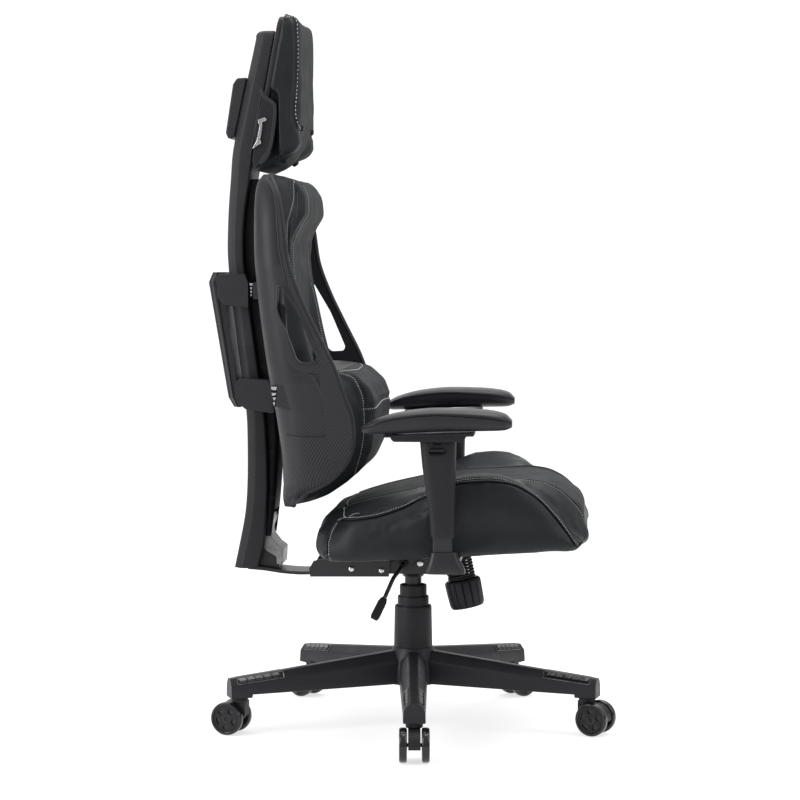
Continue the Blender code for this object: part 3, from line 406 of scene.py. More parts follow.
def loft(rings, looped=False):
    """A solid through rings of points, closed by a face at each end unless it is looped."""
    bm = bmesh.new()
    rows = [[bm.verts.new(p) for p in ring] for ring in rings]
    count = len(rows[0])
    pairs = list(zip(rows, rows[1:]))
    if looped:
        pairs.append((rows[-1], rows[0]))
    for low, high in pairs:
        for i in range(count):
            j = (i + 1) % count
            bm.faces.new((low[i], low[j], high[j], high[i]))
    if not looped:
        bm.faces.new(reversed(rows[0]))
        bm.faces.new(rows[-1])
    return outward(bm)


def prism(outline, x0, x1):
    return loft([[(x, y, z) for y, z in outline] for x in (x0, x1)])


def slab(outline, side, near, far):
    """A prism on one side of the chair, between two distances from its middle."""
    return prism(outline, *sorted((side * near, side * far)))


def turned(profile, sides=64, looped=False):
    return loft([[(x, y, z) for x, y in circle(r, sides)] for r, z in profile], looped)


def placed(bm, matrix):
    bm.transform(matrix)
    return bm


def toward(start, direction):
    """A frame at start whose Z points along direction."""
    turn = Vector(direction).to_track_quat("Z", "Y").to_matrix().to_4x4()
    return Matrix.Translation(start) @ turn


def tube(points, radius, sides=8, closed=False):
    """A round bar along a line. The radius may change along it."""
    p = [Vector(q) for q in points]
    count = len(p)
    radii = radius if isinstance(radius, (list, tuple)) else [radius] * count
    rings = []
    side = None
    for i, here in enumerate(p):
        ahead = p[(i + 1) % count] if closed or i < count - 1 else here
        behind = p[i - 1] if closed or i else here
        along = (ahead - behind).normalized()
        if side is None:
            side = along.orthogonal().normalized()
        side = (side - along * side.dot(along)).normalized()
        up = along.cross(side)
        rings.append([here + side * c + up * s for c, s in circle(radii[i], sides)])
    return loft(rings, closed)


def coil(start, direction, length, radius, wire, turns, sides=8):
    """A coil spring's wire, with a flat turn at each end."""
    steps = 28
    points = []
    for i in range(int(steps * (turns + 1.5)) + 1):
        turn = i / steps
        rise = min(max(turn - 0.6, 0), turns) / turns
        a = 2 * math.pi * turn
        points.append((math.cos(a) * (radius - wire), math.sin(a) * (radius - wire),
                       wire + rise * (length - 2 * wire)))
    return placed(tube(points, wire, sides), toward(start, direction))


def joined(*parts):
    """Several closed solids in one mesh."""
    whole = bmesh.new()
    for part in parts:
        mesh = bpy.data.meshes.new("part")
        part.to_mesh(mesh)
        part.free()
        whole.from_mesh(mesh)
        bpy.data.meshes.remove(mesh)
    return whole


def plain_object(name, bm):
    mesh = bpy.data.meshes.new(name)
    bm.to_mesh(mesh)
    bm.free()
    made = bpy.data.objects.new(name, mesh)
    SCENE.collection.objects.link(made)
    return made


def settle(made):
    """Keep the result of an object's modifiers as its mesh."""
    bpy.context.view_layer.update()
    graph = bpy.context.evaluated_depsgraph_get()
    mesh = bpy.data.meshes.new_from_object(made.evaluated_get(graph))
    made.modifiers.clear()
    made.data = mesh
    return made


def combined(bm, operation, *tools):
    """A solid with others joined to it or cut from it."""
    made = plain_object("whole", bm)
    extra = []
    for tool in tools:
        extra.append(plain_object("tool", tool))
        step = made.modifiers.new("step", "BOOLEAN")
        step.operation = operation
        step.object = extra[-1]
        step.solver = "EXACT"
    settle(made)
    result = bmesh.new()
    result.from_mesh(made.data)
    for item in extra + [made]:
        bpy.data.objects.remove(item, do_unlink=True)
    return result


def cut(bm, *tools):
    return combined(bm, "DIFFERENCE", *tools)


def union(bm, *tools):
    return combined(bm, "UNION", *tools)


def flipped(bm):
    """The same solid on the other side of the chair."""
    bm.transform(Matrix.Scale(-1, 4, (1, 0, 0)))
    bmesh.ops.reverse_faces(bm, faces=bm.faces)
    return bm


# ---------------------------------------------------------------- pieces


def edged(made, width, segments=2, angle=42):
    edge = made.modifiers.new("edge", "BEVEL")
    edge.width = width
    edge.segments = segments
    edge.limit_method = "ANGLE"
    edge.angle_limit = math.radians(angle)
    edge.harden_normals = False
    return made


def piece(name, bm, finish, body, replaced=(), edge=0.0, sharp=40, span=None):
    """A visible piece that moves with a body and stands for some plain nodes.

    A spring is given span, a second body with the spring's two ends; only whether span is given is used: the
    spring is then fixed where it stands and moves with no body."""
    made = plain_object(name, bm)
    made.data.materials.append(FINISH[finish])
    made.data.shade_smooth()
    made.data.set_sharp_from_angle(angle=math.radians(sharp))
    if edge:
        edged(made, edge)
    if span:
        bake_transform(made)
    else:
        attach(made, body)
    if replaced:
        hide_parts(*replaced)
    return made


def refine(name, finish, width=0.001):
    """A plain node kept, with softened edges and its real finish."""
    made = NODES[name]
    weld = made.modifiers.new("weld", "WELD")
    weld.merge_threshold = 0.00002
    if width:
        edged(made, width, 2, 35)
    shade = made.modifiers.new("shade", "WEIGHTED_NORMAL")
    shade.keep_sharp = False
    made.data.materials[0] = FINISH[finish]


# ---------------------------------------------------------------- base and casters

BASE_YAW = math.radians(184.5)
ARM_YAWS = [BASE_YAW + 2 * math.pi * k / 5 for k in range(5)]
STEM_CIRCLE = 0.330
CASTER_TRAIL = 0.017
CASTER_TURNS = [math.radians(a) for a in (0, 62, 127, -127, -110)]
WHEEL_RADIUS = 0.030
ARM_STATIONS = [  # distance, underside, shoulder, ridge, half width low, half width at the shoulder
    (0.026, 0.0778, 0.1205, 0.1388, 0.0262, 0.0238),
    (0.3105, 0.0727, 0.0938, 0.1056, 0.0200, 0.0184),
    (0.3115, 0.0670, 0.0937, 0.1055, 0.0200, 0.0184),
    (0.3500, 0.0670, 0.0896, 0.1014, 0.0196, 0.0180),
]
RIDGE = 0.0088


def base_arm(yaw):
    rings = []
    for r, low, shoulder, top, wide, mid in ARM_STATIONS:
        half = [(wide, low), (mid, shoulder), (RIDGE, top)]
        outline = fillet(half + [(-y, z) for y, z in reversed(half)], 0.0024, 2)
        rings.append([(r, y, z) for y, z in outline])
    return placed(loft(rings), Matrix.Rotation(yaw, 4, "Z"))


def shoulder_point(r, t, side, lift):
    """A point on an arm's slanted shoulder: t runs from its outer edge to the ridge."""
    low, high = ARM_STATIONS[0], ARM_STATIONS[1]
    k = (r - low[0]) / (high[0] - low[0])
    z0, z1 = (low[n] + (high[n] - low[n]) * k for n in (2, 3))
    y0 = low[5] + (high[5] - low[5]) * min(k, 1.0)
    if r > high[0]:
        z0, z1 = (high[n] - (r - high[0]) * 0.107 for n in (2, 3))
    normal = Vector((0, z1 - z0, y0 - RIDGE)).normalized()
    y, z = y0 + (RIDGE - y0) * t, z0 + (z1 - z0) * t
    return (r, (y + normal.y * lift) * side, z + normal.z * lift)


def shoulder_tile(side, corners, low, high):
    """A thin raised tile on a shoulder. The corners are (distance, across)."""
    corners = fillet(corners, 0.0012, 2) if len(corners) == 4 else corners
    return loft([[shoulder_point(r, t, side, lift) for r, t in corners] for lift in (low, high)])


def tile_row(side, t0, t1, high):
    """Five slanted tiles in a row along an arm's shoulder."""
    start, step, gap, lean = 0.2560, 0.0154, 0.0026, 0.0035
    tiles = []
    for i in range(5):
        a, b = start + i * step + gap, start + (i + 1) * step
        tiles.append(shoulder_tile(side, [(a, t0), (b, t0), (b + lean, t1), (a + lean, t1)], 0.0, high))
    return tiles


def make_base():
    hub = turned([(0.0465, 0.0765), (0.0475, 0.0780), (0.0450, 0.1080), (0.0382, 0.1405),
                  (0.0370, 0.1425), (0.0300, 0.1428)], 64)
    whole = union(hub, *[base_arm(yaw) for yaw in ARM_YAWS])
    piece("base_casting", cut(whole, turned([(0.0228, 0.05), (0.0228, 0.17)], 48)), "base", "base",
          ["base_star"], 0.0009)
    frames, pads, lines, edges = [], [], [], []
    for yaw in ARM_YAWS:
        turn = Matrix.Rotation(yaw, 4, "Z")
        for side in (-1, 1):
            rim = [(0.252, 0.10), (0.338, 0.10), (0.338, 0.90), (0.252, 0.90)]
            frames.append(placed(shoulder_tile(side, rim, -0.0010, 0.0007), turn))
            pads += [placed(p, turn) for p in tile_row(side, 0.17, 0.46, 0.0017)]
            lines += [placed(p, turn) for p in tile_row(side, 0.50, 0.86, 0.0019)]
            border = [shoulder_point(r, t, side, 0.0006) for r, t in rim]
            edges.append(placed(tube(resample(border, 0.004, True), 0.0006, 6, True), turn))
    piece("grip_frames", joined(*frames), "nylon", "base")
    piece("grip_pads", joined(*pads), "gloss", "base", edge=0.0004)
    piece("grip_tiles", joined(*lines), "silver", "base", edge=0.0004)
    piece("grip_borders", joined(*edges), "silver", "base")
    ring = [(0.0362, 0.1424), (0.0362, 0.1436), (0.0356, 0.1440), (0.0335, 0.1440), (0.0335, 0.1424)]
    piece("hub_collar", turned(ring, 64, True), "nylon", "base")


def crescent():
    """A curved recess in a wheel's face, about the axle, pointing along +X."""
    outline = []
    for a in spread(-84, 84, 15):
        a = math.radians(a)
        outline.append((0.0172 - 0.0066 * math.cos(a), 0.0066 * math.sin(a)))
    for a in spread(20, -20, 9):
        a = math.radians(a)
        outline.append((0.0198 * math.cos(a), 0.0198 * math.sin(a)))
    return loft([[(x, y, z) for x, y in outline] for z in (0.0215, 0.0275)])


def crescents():
    """The five recesses, evenly round the axle."""
    return [placed(crescent(), Matrix.Rotation(math.radians(72 * k + 18), 4, "Z")) for k in range(5)]


def wheel(side):
    profile = [(0.0040, 0.0125), (0.0262, 0.0125), (0.0284, 0.0131), (0.0296, 0.0146), (0.0300, 0.0168),
               (0.0300, 0.0222), (0.0296, 0.0243), (0.0285, 0.0258), (0.0268, 0.0262), (0.0251, 0.0262),
               (0.0243, 0.0257), (0.0240, 0.0245), (0.0233, 0.0240), (0.0085, 0.0240), (0.0078, 0.0248),
               (0.0062, 0.0251), (0.0040, 0.0251)]
    bm = cut(turned(profile, 64, True), *crescents())
    bm.transform(Matrix.Rotation(-side * math.pi / 2, 4, "X"))
    return bm


def make_casters():
    templates = {side: plain_object("template", wheel(side)) for side in (-1, 1)}
    for k, yaw in enumerate(ARM_YAWS):
        trail = BASE_YAW + CASTER_TURNS[k]
        stem = Matrix.Translation((STEM_CIRCLE * math.cos(yaw), STEM_CIRCLE * math.sin(yaw), 0))
        turn = stem @ Matrix.Rotation(trail, 4, "Z")
        arc = [math.radians(a) for a in spread(-8, 118, 17)]
        hood = [(CASTER_TRAIL + 0.0268 * math.cos(a), WHEEL_RADIUS + 0.0268 * math.sin(a)) for a in arc]
        hood += [(-0.0040, 0.0610), (-0.0138, 0.0610), (-0.0138, 0.0370), (-0.0060, 0.0263)]
        body = loft([[(x, y, z) for x, z in hood] for y in (-0.0105, 0.0105)])
        neck = turned([(0.0142, 0.0575), (0.0150, 0.0590), (0.0150, 0.0655), (0.0144, 0.0667)], 40)
        middle = Matrix.Translation((CASTER_TRAIL, 0, WHEEL_RADIUS))
        axle = placed(turned([(0.0034, -0.0252), (0.0034, 0.0252)], 24),
                      middle @ Matrix.Rotation(math.pi / 2, 4, "X"))
        whole = placed(union(body, neck, axle, turned([(0.0055, 0.060), (0.0055, 0.0945)], 24)), turn)
        piece(f"caster_fork_{k + 1}", whole, "nylon", f"caster_{k + 1}", [f"caster_housing_{k + 1}"], 0.0009)
        centre = turn @ middle
        for side, letter in ((1, "a"), (-1, "b")):
            bm = bmesh.new()
            bm.from_mesh(templates[side].data)
            piece(f"wheel_{k + 1}{letter}_tread", placed(bm, centre), "gloss", f"wheel_{k + 1}{letter}",
                  [f"caster_wheel_{k + 1}{letter}"], 0.0003, 30)
            cap = turned([(0.0050, 0.0242), (0.0232, 0.0242), (0.0232, 0.02445), (0.0050, 0.02445)], 48, True)
            cap = cut(cap, *crescents())
            cap.transform(centre @ Matrix.Rotation(-side * math.pi / 2, 4, "X"))
            piece(f"wheel_{k + 1}{letter}_face", cap, "nylon", f"wheel_{k + 1}{letter}")
    for made in templates.values():
        bpy.data.objects.remove(made, do_unlink=True)


# ---------------------------------------------------------------- column and mechanism


def sleeve(outer, inner):
    return turned(outer + inner, 72, True)


def make_column():
    lower = sleeve([(0.0353, 0.1433), (0.0355, 0.1445), (0.0342, 0.2150), (0.0338, 0.2185), (0.0330, 0.2195)],
                   [(0.0320, 0.2195), (0.0312, 0.2185), (0.0305, 0.2160), (0.0305, 0.1433)])
    piece("column_cover_low", lower, "nylon", "base", ["cover_lower"], sharp=50)
    middle = sleeve([(0.0288, 0.158), (0.0288, 0.2335), (0.0285, 0.2360), (0.0279, 0.2370)],
                    [(0.0273, 0.2370), (0.0267, 0.2360), (0.0263, 0.2340), (0.0263, 0.158)])
    piece("column_cover_mid", middle, "nylon", "cover_middle", ["cover_middle"], sharp=50)
    upper = sleeve([(0.0250, 0.174), (0.0250, 0.2545), (0.0247, 0.2570), (0.0241, 0.2580)],
                   [(0.0236, 0.2580), (0.0231, 0.2570), (0.0228, 0.2550), (0.0228, 0.174)])
    piece("column_cover_top", upper, "nylon", "cover_upper", ["cover_upper"], sharp=50)
    shaft = [(0.0148, 0.1305), (0.0155, 0.1320), (0.0155, 0.2945), (0.0030, 0.2945), (0.0030, 0.2480),
             (0.0062, 0.2450), (0.0062, 0.1305)]
    piece("pressure_tube", turned(shaft, 56, True), "steel", "mechanism", ["gas_pressure_tube"])
    refine("gas_stand_tube", "steel", 0.0004)
    refine("gas_piston_rod", "chrome", 0.0003)


SPRING_LEAN = math.radians(12)
DOWN = Vector((0, -math.sin(SPRING_LEAN), -math.cos(SPRING_LEAN)))
SPRING_TOP = Vector((0, -0.081, 0.3125))
SPRING_LENGTH = 0.044


def knob_ring(radius, z, notch):
    """A grip with broad ribs between narrow notches."""
    ring = []
    for i in range(112):
        a = 2 * math.pi * i / 112
        reach = radius - notch * max(0.0, 0.35 - abs(math.sin(a * 7))) / 0.35
        ring.append((reach * math.cos(a), reach * math.sin(a), z))
    return ring


def pan_head(place, direction, radius=0.0042, height=0.0022):
    """A domed screw head with a cross recess left as a shallow dimple."""
    profile = [(radius, 0.0), (radius, height * 0.35), (radius * 0.86, height * 0.75),
               (radius * 0.55, height * 0.97), (radius * 0.22, height), (radius * 0.12, height * 0.6)]
    return placed(turned(profile, 20), toward(place, direction))


def hex_head(place, direction, radius=0.0060, height=0.0040):
    return placed(turned([(radius, 0), (radius, height * 0.8), (radius * 0.85, height)], 6),
                  toward(place, direction))


def make_mechanism():
    for name in ("tilt_housing", "seat_plate"):
        refine(name, "steel", 0.0012)
    refine("back_bar", "steel", 0.0008)
    refine("tilt_pivot_pin", "steel", 0.0005)
    low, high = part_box("tilt_pivot_pin")
    heads = [pan_head((x, -0.0175, 0.3050), (side, 0, 0), 0.0056, 0.0016)
             for side, x in ((-1, low[0]), (1, high[0]))]
    piece("pin_heads", joined(*heads), "chrome", "mechanism", sharp=50)
    refine("lever_bush", "rubber", 0.0006)
    refine("tension_bolt", "steel", 0.0005)
    refine("seat_pan", "board", 0.0)
    spring = coil(SPRING_TOP + DOWN * 0.0006, DOWN, SPRING_LENGTH, 0.026, 0.0026, 6.6, 10)
    piece("tilt_spring_wire", spring, "nylon", "mechanism", ["tension_spring"],
          span=("seat", tuple(SPRING_TOP), tuple(SPRING_TOP + DOWN * SPRING_LENGTH)))
    top = SPRING_TOP + DOWN * (SPRING_LENGTH + 0.0012)
    rings = [  # radius, height, depth of the notches
        (0.0295, 0.0, 0.0004), (0.0315, 0.0010, 0.0008), (0.0330, 0.0035, 0.0022), (0.0335, 0.0060, 0.0024),
        (0.0330, 0.0240, 0.0024), (0.0320, 0.0440, 0.0022), (0.0305, 0.0495, 0.0014),
        (0.0285, 0.0518, 0.0004), (0.0240, 0.0520, 0.0), (0.0225, 0.0500, 0.0), (0.0060, 0.0500, 0.0),
    ]
    knob = placed(loft([knob_ring(*ring) for ring in rings]), toward(top, DOWN))
    bore = placed(turned([(0.0044, -0.01), (0.0044, 0.0306)], 24), toward(top, DOWN))
    piece("tension_grip", cut(knob, bore), "nylon", "tension_knob", ["tension_knob"], sharp=32)
    bend = [(-0.0575, 0.014, 0.303), (-0.105, 0.014, 0.303), (-0.125, 0.0155, 0.300), (-0.138, 0.025, 0.288),
            (-0.146, 0.034, 0.268), (-0.152, 0.0395, 0.255)]
    piece("lever_bar", tube(smooth(bend, 6), 0.0038, 16), "steel", "lever", ["lever_rod"])
    refine("lever_grip", "nylon", 0.0010)
    screws = [pan_head((side * 0.0620, y, z), (side, 0, 0), 0.0054, 0.0030)
              for side in (-1, 1) for y, z in ((0.1085, 0.2930), (0.0535, 0.2910))]
    piece("flange_screws", joined(*screws), "chrome", "seat", sharp=50)
    bolts = [hex_head((x, y, 0.2884), (0, 0, -1)) for x in (-0.030, 0.030) for y in (0.1515, 0.1000)]
    bolts += [hex_head((x, 0.262, 0.3345), (0, -0.35, 1), 0.005, 0.003) for x in (-0.018, 0.018)]
    piece("bar_bolts", joined(*bolts), "steel", "seat", sharp=30)
    ribs = [prism([(-0.040, 0.2845), (0.060, 0.2845), (0.060, 0.2990), (-0.018, 0.3150)], x, x + deep)
            for x, deep in ((-0.0556, 0.0006), (0.0550, 0.0016))]
    piece("housing_flanges", joined(*ribs), "steel", "mechanism", edge=0.0004)


# ---------------------------------------------------------------- spine

SPINE = [  # height, rear face, front edge of the side face, front of the front cover
    (0.292, 0.3260, 0.2820, 0.2640), (0.337, 0.3165, 0.2700, 0.2600), (0.393, 0.3060, 0.2650, 0.2530),
    (0.448, 0.3020, 0.2625, 0.2480), (0.523, 0.3015, 0.2640, 0.2440), (0.578, 0.3035, 0.2680, 0.2460),
    (0.700, 0.3190, 0.2850, 0.2580), (0.852, 0.3359, 0.3040, 0.2720), (0.929, 0.3354, 0.3030, 0.2730),
    (1.002, 0.3304, 0.2930, 0.2690), (1.060, 0.3250, 0.2840, 0.2640), (1.255, 0.2832, 0.2473, 0.2300),
]
SPINE_HALF = 0.060
CARBON_FROM = 0.700  # the spine's side faces carry the twill above this height


def bar_box(x, y0, y1, z0, z1):
    return prism([(y0, z0), (y1, z0), (y1, z1), (y0, z1)], -x, x)


def make_spine():
    levels = spread(0.292, 0.700, 28) + spread(0.7148, 1.255, 36)
    rings = []
    for z in levels:
        rear, side, _ = at(SPINE, z)
        corners = [(SPINE_HALF, side), (SPINE_HALF, rear - 0.014), (SPINE_HALF - 0.015, rear)]
        outline = corners + [(-x, y) for x, y in reversed(corners)]
        rings.append([(x, y, z) for x, y in fillet(outline, 0.0045, 4)])
    _, side, _ = at(SPINE, 1.255)
    for z, keep, wide in ((1.2610, 0.97, 0.985), (1.2660, 0.90, 0.95), (1.2690, 0.80, 0.88)):
        rings.append([(x * wide, side + 0.001 + (y - side) * keep, z) for x, y, _ in rings[len(levels) - 1]])
    slot = [(x, z) for x, z in fillet([(-0.0125, 1.083), (0.0125, 1.083), (0.0125, 1.207),
                                       (-0.0125, 1.207)], 0.008, 5)]
    slot = loft([[(x, y, z) for x, z in slot] for y in (0.20, 0.40)])
    rear = cut(loft(rings), slot, bar_box(0.0376, 0.230, 0.2815, 0.280, 0.3975),
               bar_box(0.0376, 0.270, 0.3045, 0.280, 0.3365))
    made = piece("spine_cover", rear, "nylon", "seat", ["spine_rear_cover"], sharp=35)
    made.data.materials.append(FINISH["carbon"])
    for face in made.data.polygons:
        if face.center.z > CARBON_FROM:
            face.material_index = 1
    rings = []
    for z in spread(0.350, 1.002, 44):
        _, side, front = at(SPINE, z)
        half = [(0.046, side - 0.0003), (0.046, front + 0.006), (0.038, front)]
        outline = half + [(-x, y) for x, y in reversed(half)]
        rings.append([(x, y, z) for x, y in fillet(outline, 0.003, 3)])
    front = cut(loft(rings), bar_box(0.0362, 0.240, 0.2790, 0.330, 0.3975))
    piece("spine_channel", front, "channel", "seat", ["spine_front_cover"], sharp=35)
    lines = []
    for z in (0.420, 0.505, 0.660, 0.752, 0.858, 0.915, 0.972):
        _, side, front = at(SPINE, z)
        for x in (-0.0463, 0.0463):
            strip = [(side - 0.0120, z), (side - 0.0020, z + 0.0004), (side - 0.0020, z + 0.0014),
                     (side - 0.0120, z + 0.0010)]
            lines.append(prism(strip, min(x, x * 0.985), max(x, x * 0.985)))
    piece("channel_part_lines", joined(*lines), "smooth", "seat")
    outline = [(0.2680, 0.3850), (0.2575, 0.3895), (0.2560, 0.3780), (0.2610, 0.3620), (0.2600, 0.3490),
               (0.2480, 0.3340), (0.2370, 0.3260), (0.2385, 0.2965), (0.2495, 0.2965), (0.2505, 0.3110),
               (0.2690, 0.3215), (0.2760, 0.3300), (0.2770, 0.3500), (0.2740, 0.3750)]
    slot = prism(fillet([(0.2625, 0.3815), (0.2655, 0.3815), (0.2685, 0.3665), (0.2655, 0.3660)], 0.001, 2),
                 -0.04, 0.04)
    piece("spine_casting", cut(prism(fillet(outline, 0.0020, 3), -0.0345, 0.0345), slot), "aluminium", "seat",
          ["spine_bracket"], 0.0010)


def make_brace():
    stations = [  # height, front, rear, half width
        (0.586, 0.3145, 0.3290, 0.036), (0.604, 0.3170, 0.3380, 0.044),
        (0.815, 0.3445, 0.3725, 0.050), (0.833, 0.3465, 0.3660, 0.042),
    ]
    rings = []
    for z in spread(0.586, 0.604, 5) + spread(0.612, 0.807, 22) + spread(0.815, 0.833, 5):
        low = next(s for s in reversed(stations) if s[0] <= z + 1e-6)
        high = next((s for s in stations if s[0] > z + 1e-6), stations[-1])
        t = (z - low[0]) / (high[0] - low[0]) if high[0] > low[0] else 0.0
        front, rear, half = (low[n] + (high[n] - low[n]) * t for n in (1, 2, 3))
        deep = rear - front
        side = [(half, front), (half, front + deep * 0.34), (half - 0.0016, front + deep * 0.38),
                (half - 0.0016, front + deep * 0.44), (half, front + deep * 0.48)]
        side += [(half - inset, rear - back) for inset, back in (
            (0.0, 0.0100), (0.0070, 0.0050), (0.0084, 0.0056), (0.0104, 0.0042), (0.0110, 0.0020),
            (0.0140, 0.0), (0.0240, 0.0), (0.0250, 0.0016), (0.0275, 0.0016), (0.0285, 0.0))]
        rings.append([(x, y, z) for x, y in side] + [(-x, y, z) for x, y in reversed(side)])
    piece("brace_cover", loft(rings), "base", "seat", ["back_brace"], 0.0012, 32)
    for name in ("clamp_upper", "clamp_lower"):
        refine(name, "carbon", 0.0012)


def make_flex_springs():
    for side, letter in ((-1, "right"), (1, "left")):
        wire = coil((side * 0.0800, 0.2418, 0.6310), (0, 0, -1), 0.038, 0.0050, 0.00125, 5, 8)
        piece(f"flex_coil_{letter}", wire, "chrome", "seat", [f"flex_spring_{letter}"],
              span=("back", (side * 0.08, 0.2465, 0.612), (side * 0.08, 0.2371, 0.612)))
    ribs = []
    for top, deep, wide in ((0.8136, 0.0044, 0.0064), (0.8062, 0.0036, 0.0044), (0.7998, 0.0034, 0.0036),
                            (0.7938, 0.0034, 0.0026)):
        outline = [(0.2868 - wide / 2, top), (0.2868 + wide / 2, top), (0.2868 + wide * 0.38, top - deep),
                   (0.2868 - wide * 0.38, top - deep)]
        ribs += [slab(fillet(outline, 0.0004, 2), side, 0.070, 0.090) for side in (-1, 1)]
    piece("flex_ribs_upper", joined(*ribs), "chrome", "seat", edge=0.0003)


# ---------------------------------------------------------------- back shell

SHELL = [  # height, rear face, wing's front edge, half width
    (0.414, 0.2230, 0.2130, 0.140), (0.430, 0.2220, 0.2000, 0.168), (0.445, 0.2215, 0.1780, 0.188),
    (0.467, 0.2210, 0.1330, 0.208), (0.507, 0.2200, 0.0970, 0.228), (0.546, 0.2235, 0.0890, 0.240),
    (0.585, 0.2285, 0.0920, 0.246), (0.615, 0.2340, 0.1030, 0.249), (0.669, 0.2430, 0.1220, 0.251),
    (0.732, 0.2520, 0.1530, 0.251), (0.788, 0.2590, 0.1800, 0.249), (0.848, 0.2645, 0.2020, 0.245),
    (0.909, 0.2660, 0.2110, 0.238), (0.962, 0.2655, 0.2210, 0.222), (0.990, 0.2620, 0.2320, 0.204),
    (1.006, 0.2530, 0.2430, 0.186),
]
THICK = 0.009
SHELL_CARBON_BELOW = 0.640  # the shell carries the twill below this height
STRIP_FROM = 0.674  # the height where the narrow strip becomes the broad one
WINDOW = [(0.2160, 0.8080), (0.2190, 0.7680), (0.2000, 0.7250), (0.1850, 0.6850), (0.1780, 0.6780),
          (0.1540, 0.6790), (0.1500, 0.6870), (0.1790, 0.7550), (0.2100, 0.8080)]
WINDOW_CENTRE = Vector((0.186, 0.742))


def shell_runs(z):
    """The shell at height z: rear face, half width, corner radius, then the back, arc and side lengths."""
    rear, front, half = at(SHELL, z)
    corner = max(min(0.055, (rear - front) * 0.8), THICK * 2)
    return rear, half, corner, half - corner, corner * math.pi / 2, max(rear - front - corner, 0.0)


def shell_point(u, z, inset=0.0):
    """A point of the shell at height z. u runs from -1 at one wing's edge to 1 at the other's."""
    rear, half, corner, back_run, arc_run, side_run = shell_runs(z)
    s = abs(u) * (back_run + arc_run + side_run)
    if s < back_run:
        x, y = s, rear - inset
    elif s < back_run + arc_run:
        a = (s - back_run) / corner
        x, y = back_run + (corner - inset) * math.sin(a), rear - corner + (corner - inset) * math.cos(a)
    else:
        x, y = half - inset, rear - corner - (s - back_run - arc_run)
    return (math.copysign(x, u), y, z)


def shell_u(y, z):
    """Where the shell reaches y at height z, as a share of the way to the wing's edge."""
    rear, _, corner, back_run, arc_run, side_run = shell_runs(z)
    if y < rear - corner:
        s = back_run + arc_run + (rear - corner - y)
    else:
        s = back_run + corner * math.acos(min(max((y - rear + corner) / corner, 0.0), 1.0))
    return min(s / (back_run + arc_run + side_run), 1.0)


def shell_sheet(levels, span, outer, inner, columns):
    """A sheet that follows the shell between two skins. span gives its two u limits at a height."""
    rings = []
    for z in levels:
        u0, u1 = span(z)
        us = spread(u0, u1, columns)
        ring = [shell_point(u, z, outer) for u in us]
        rings.append(ring + [shell_point(u, z, inner) for u in reversed(us)])
    return loft(rings)


def mirrored(half):
    """A line right across the chair, from the half of it on the left, outer end first."""
    return [(-x, other) for x, other in half] + list(reversed(half))


def line_at(line, z):
    """y on a line of (y, z) points, from its highest to its lowest, at height z."""
    zs = [p[1] for p in reversed(line)]
    ys = [p[0] for p in reversed(line)]
    return float(np.interp(z, zs, ys))


STRIP_REAR = [(0.2415, 0.9940), (0.2280, 0.9735), (0.2220, 0.9435), (0.2160, 0.8760), (0.2095, 0.8420),
              (0.2025, 0.8120), (0.1655, 0.7375), (0.1500, 0.7000), (0.1470, 0.6740)]
FRAME_REAR = [(0.2590, 0.8475), (0.2365, 0.8465), (0.2280, 0.8405), (0.2260, 0.8285), (0.2285, 0.8050),
              (0.2320, 0.7710), (0.2285, 0.7575), (0.2130, 0.7240), (0.1995, 0.6800), (0.1895, 0.6645),
              (0.1700, 0.6590)]


def window_tool(side):
    return slab(fillet(WINDOW, 0.006, 4), side, 0.20, 0.30)


def window_rim(side):
    """A raised lip round a window, on the outside of its wing."""
    line = resample(smooth(fillet(WINDOW, 0.007, 4), 2, True), 0.004, True)
    rings = []
    for i, (y, z) in enumerate(line):
        ahead = Vector(line[(i + 1) % len(line)] - line[i - 1]).normalized()
        normal = Vector((ahead.y, -ahead.x))
        if normal.dot(Vector((y, z)) - WINDOW_CENTRE) < 0:
            normal = -normal
        ring = []
        for out, lift in ((0.0, -0.0040), (0.0, 0.0012), (0.0012, 0.0024), (0.0042, 0.0026), (0.0058, 0.0014),
                          (0.0062, -0.0040)):
            py, pz = y + normal.x * out, z + normal.y * out
            x = shell_point(shell_u(py, pz), pz, -lift)[0]
            ring.append((side * x, py, pz))
        rings.append(ring)
    return loft(rings, looped=True)


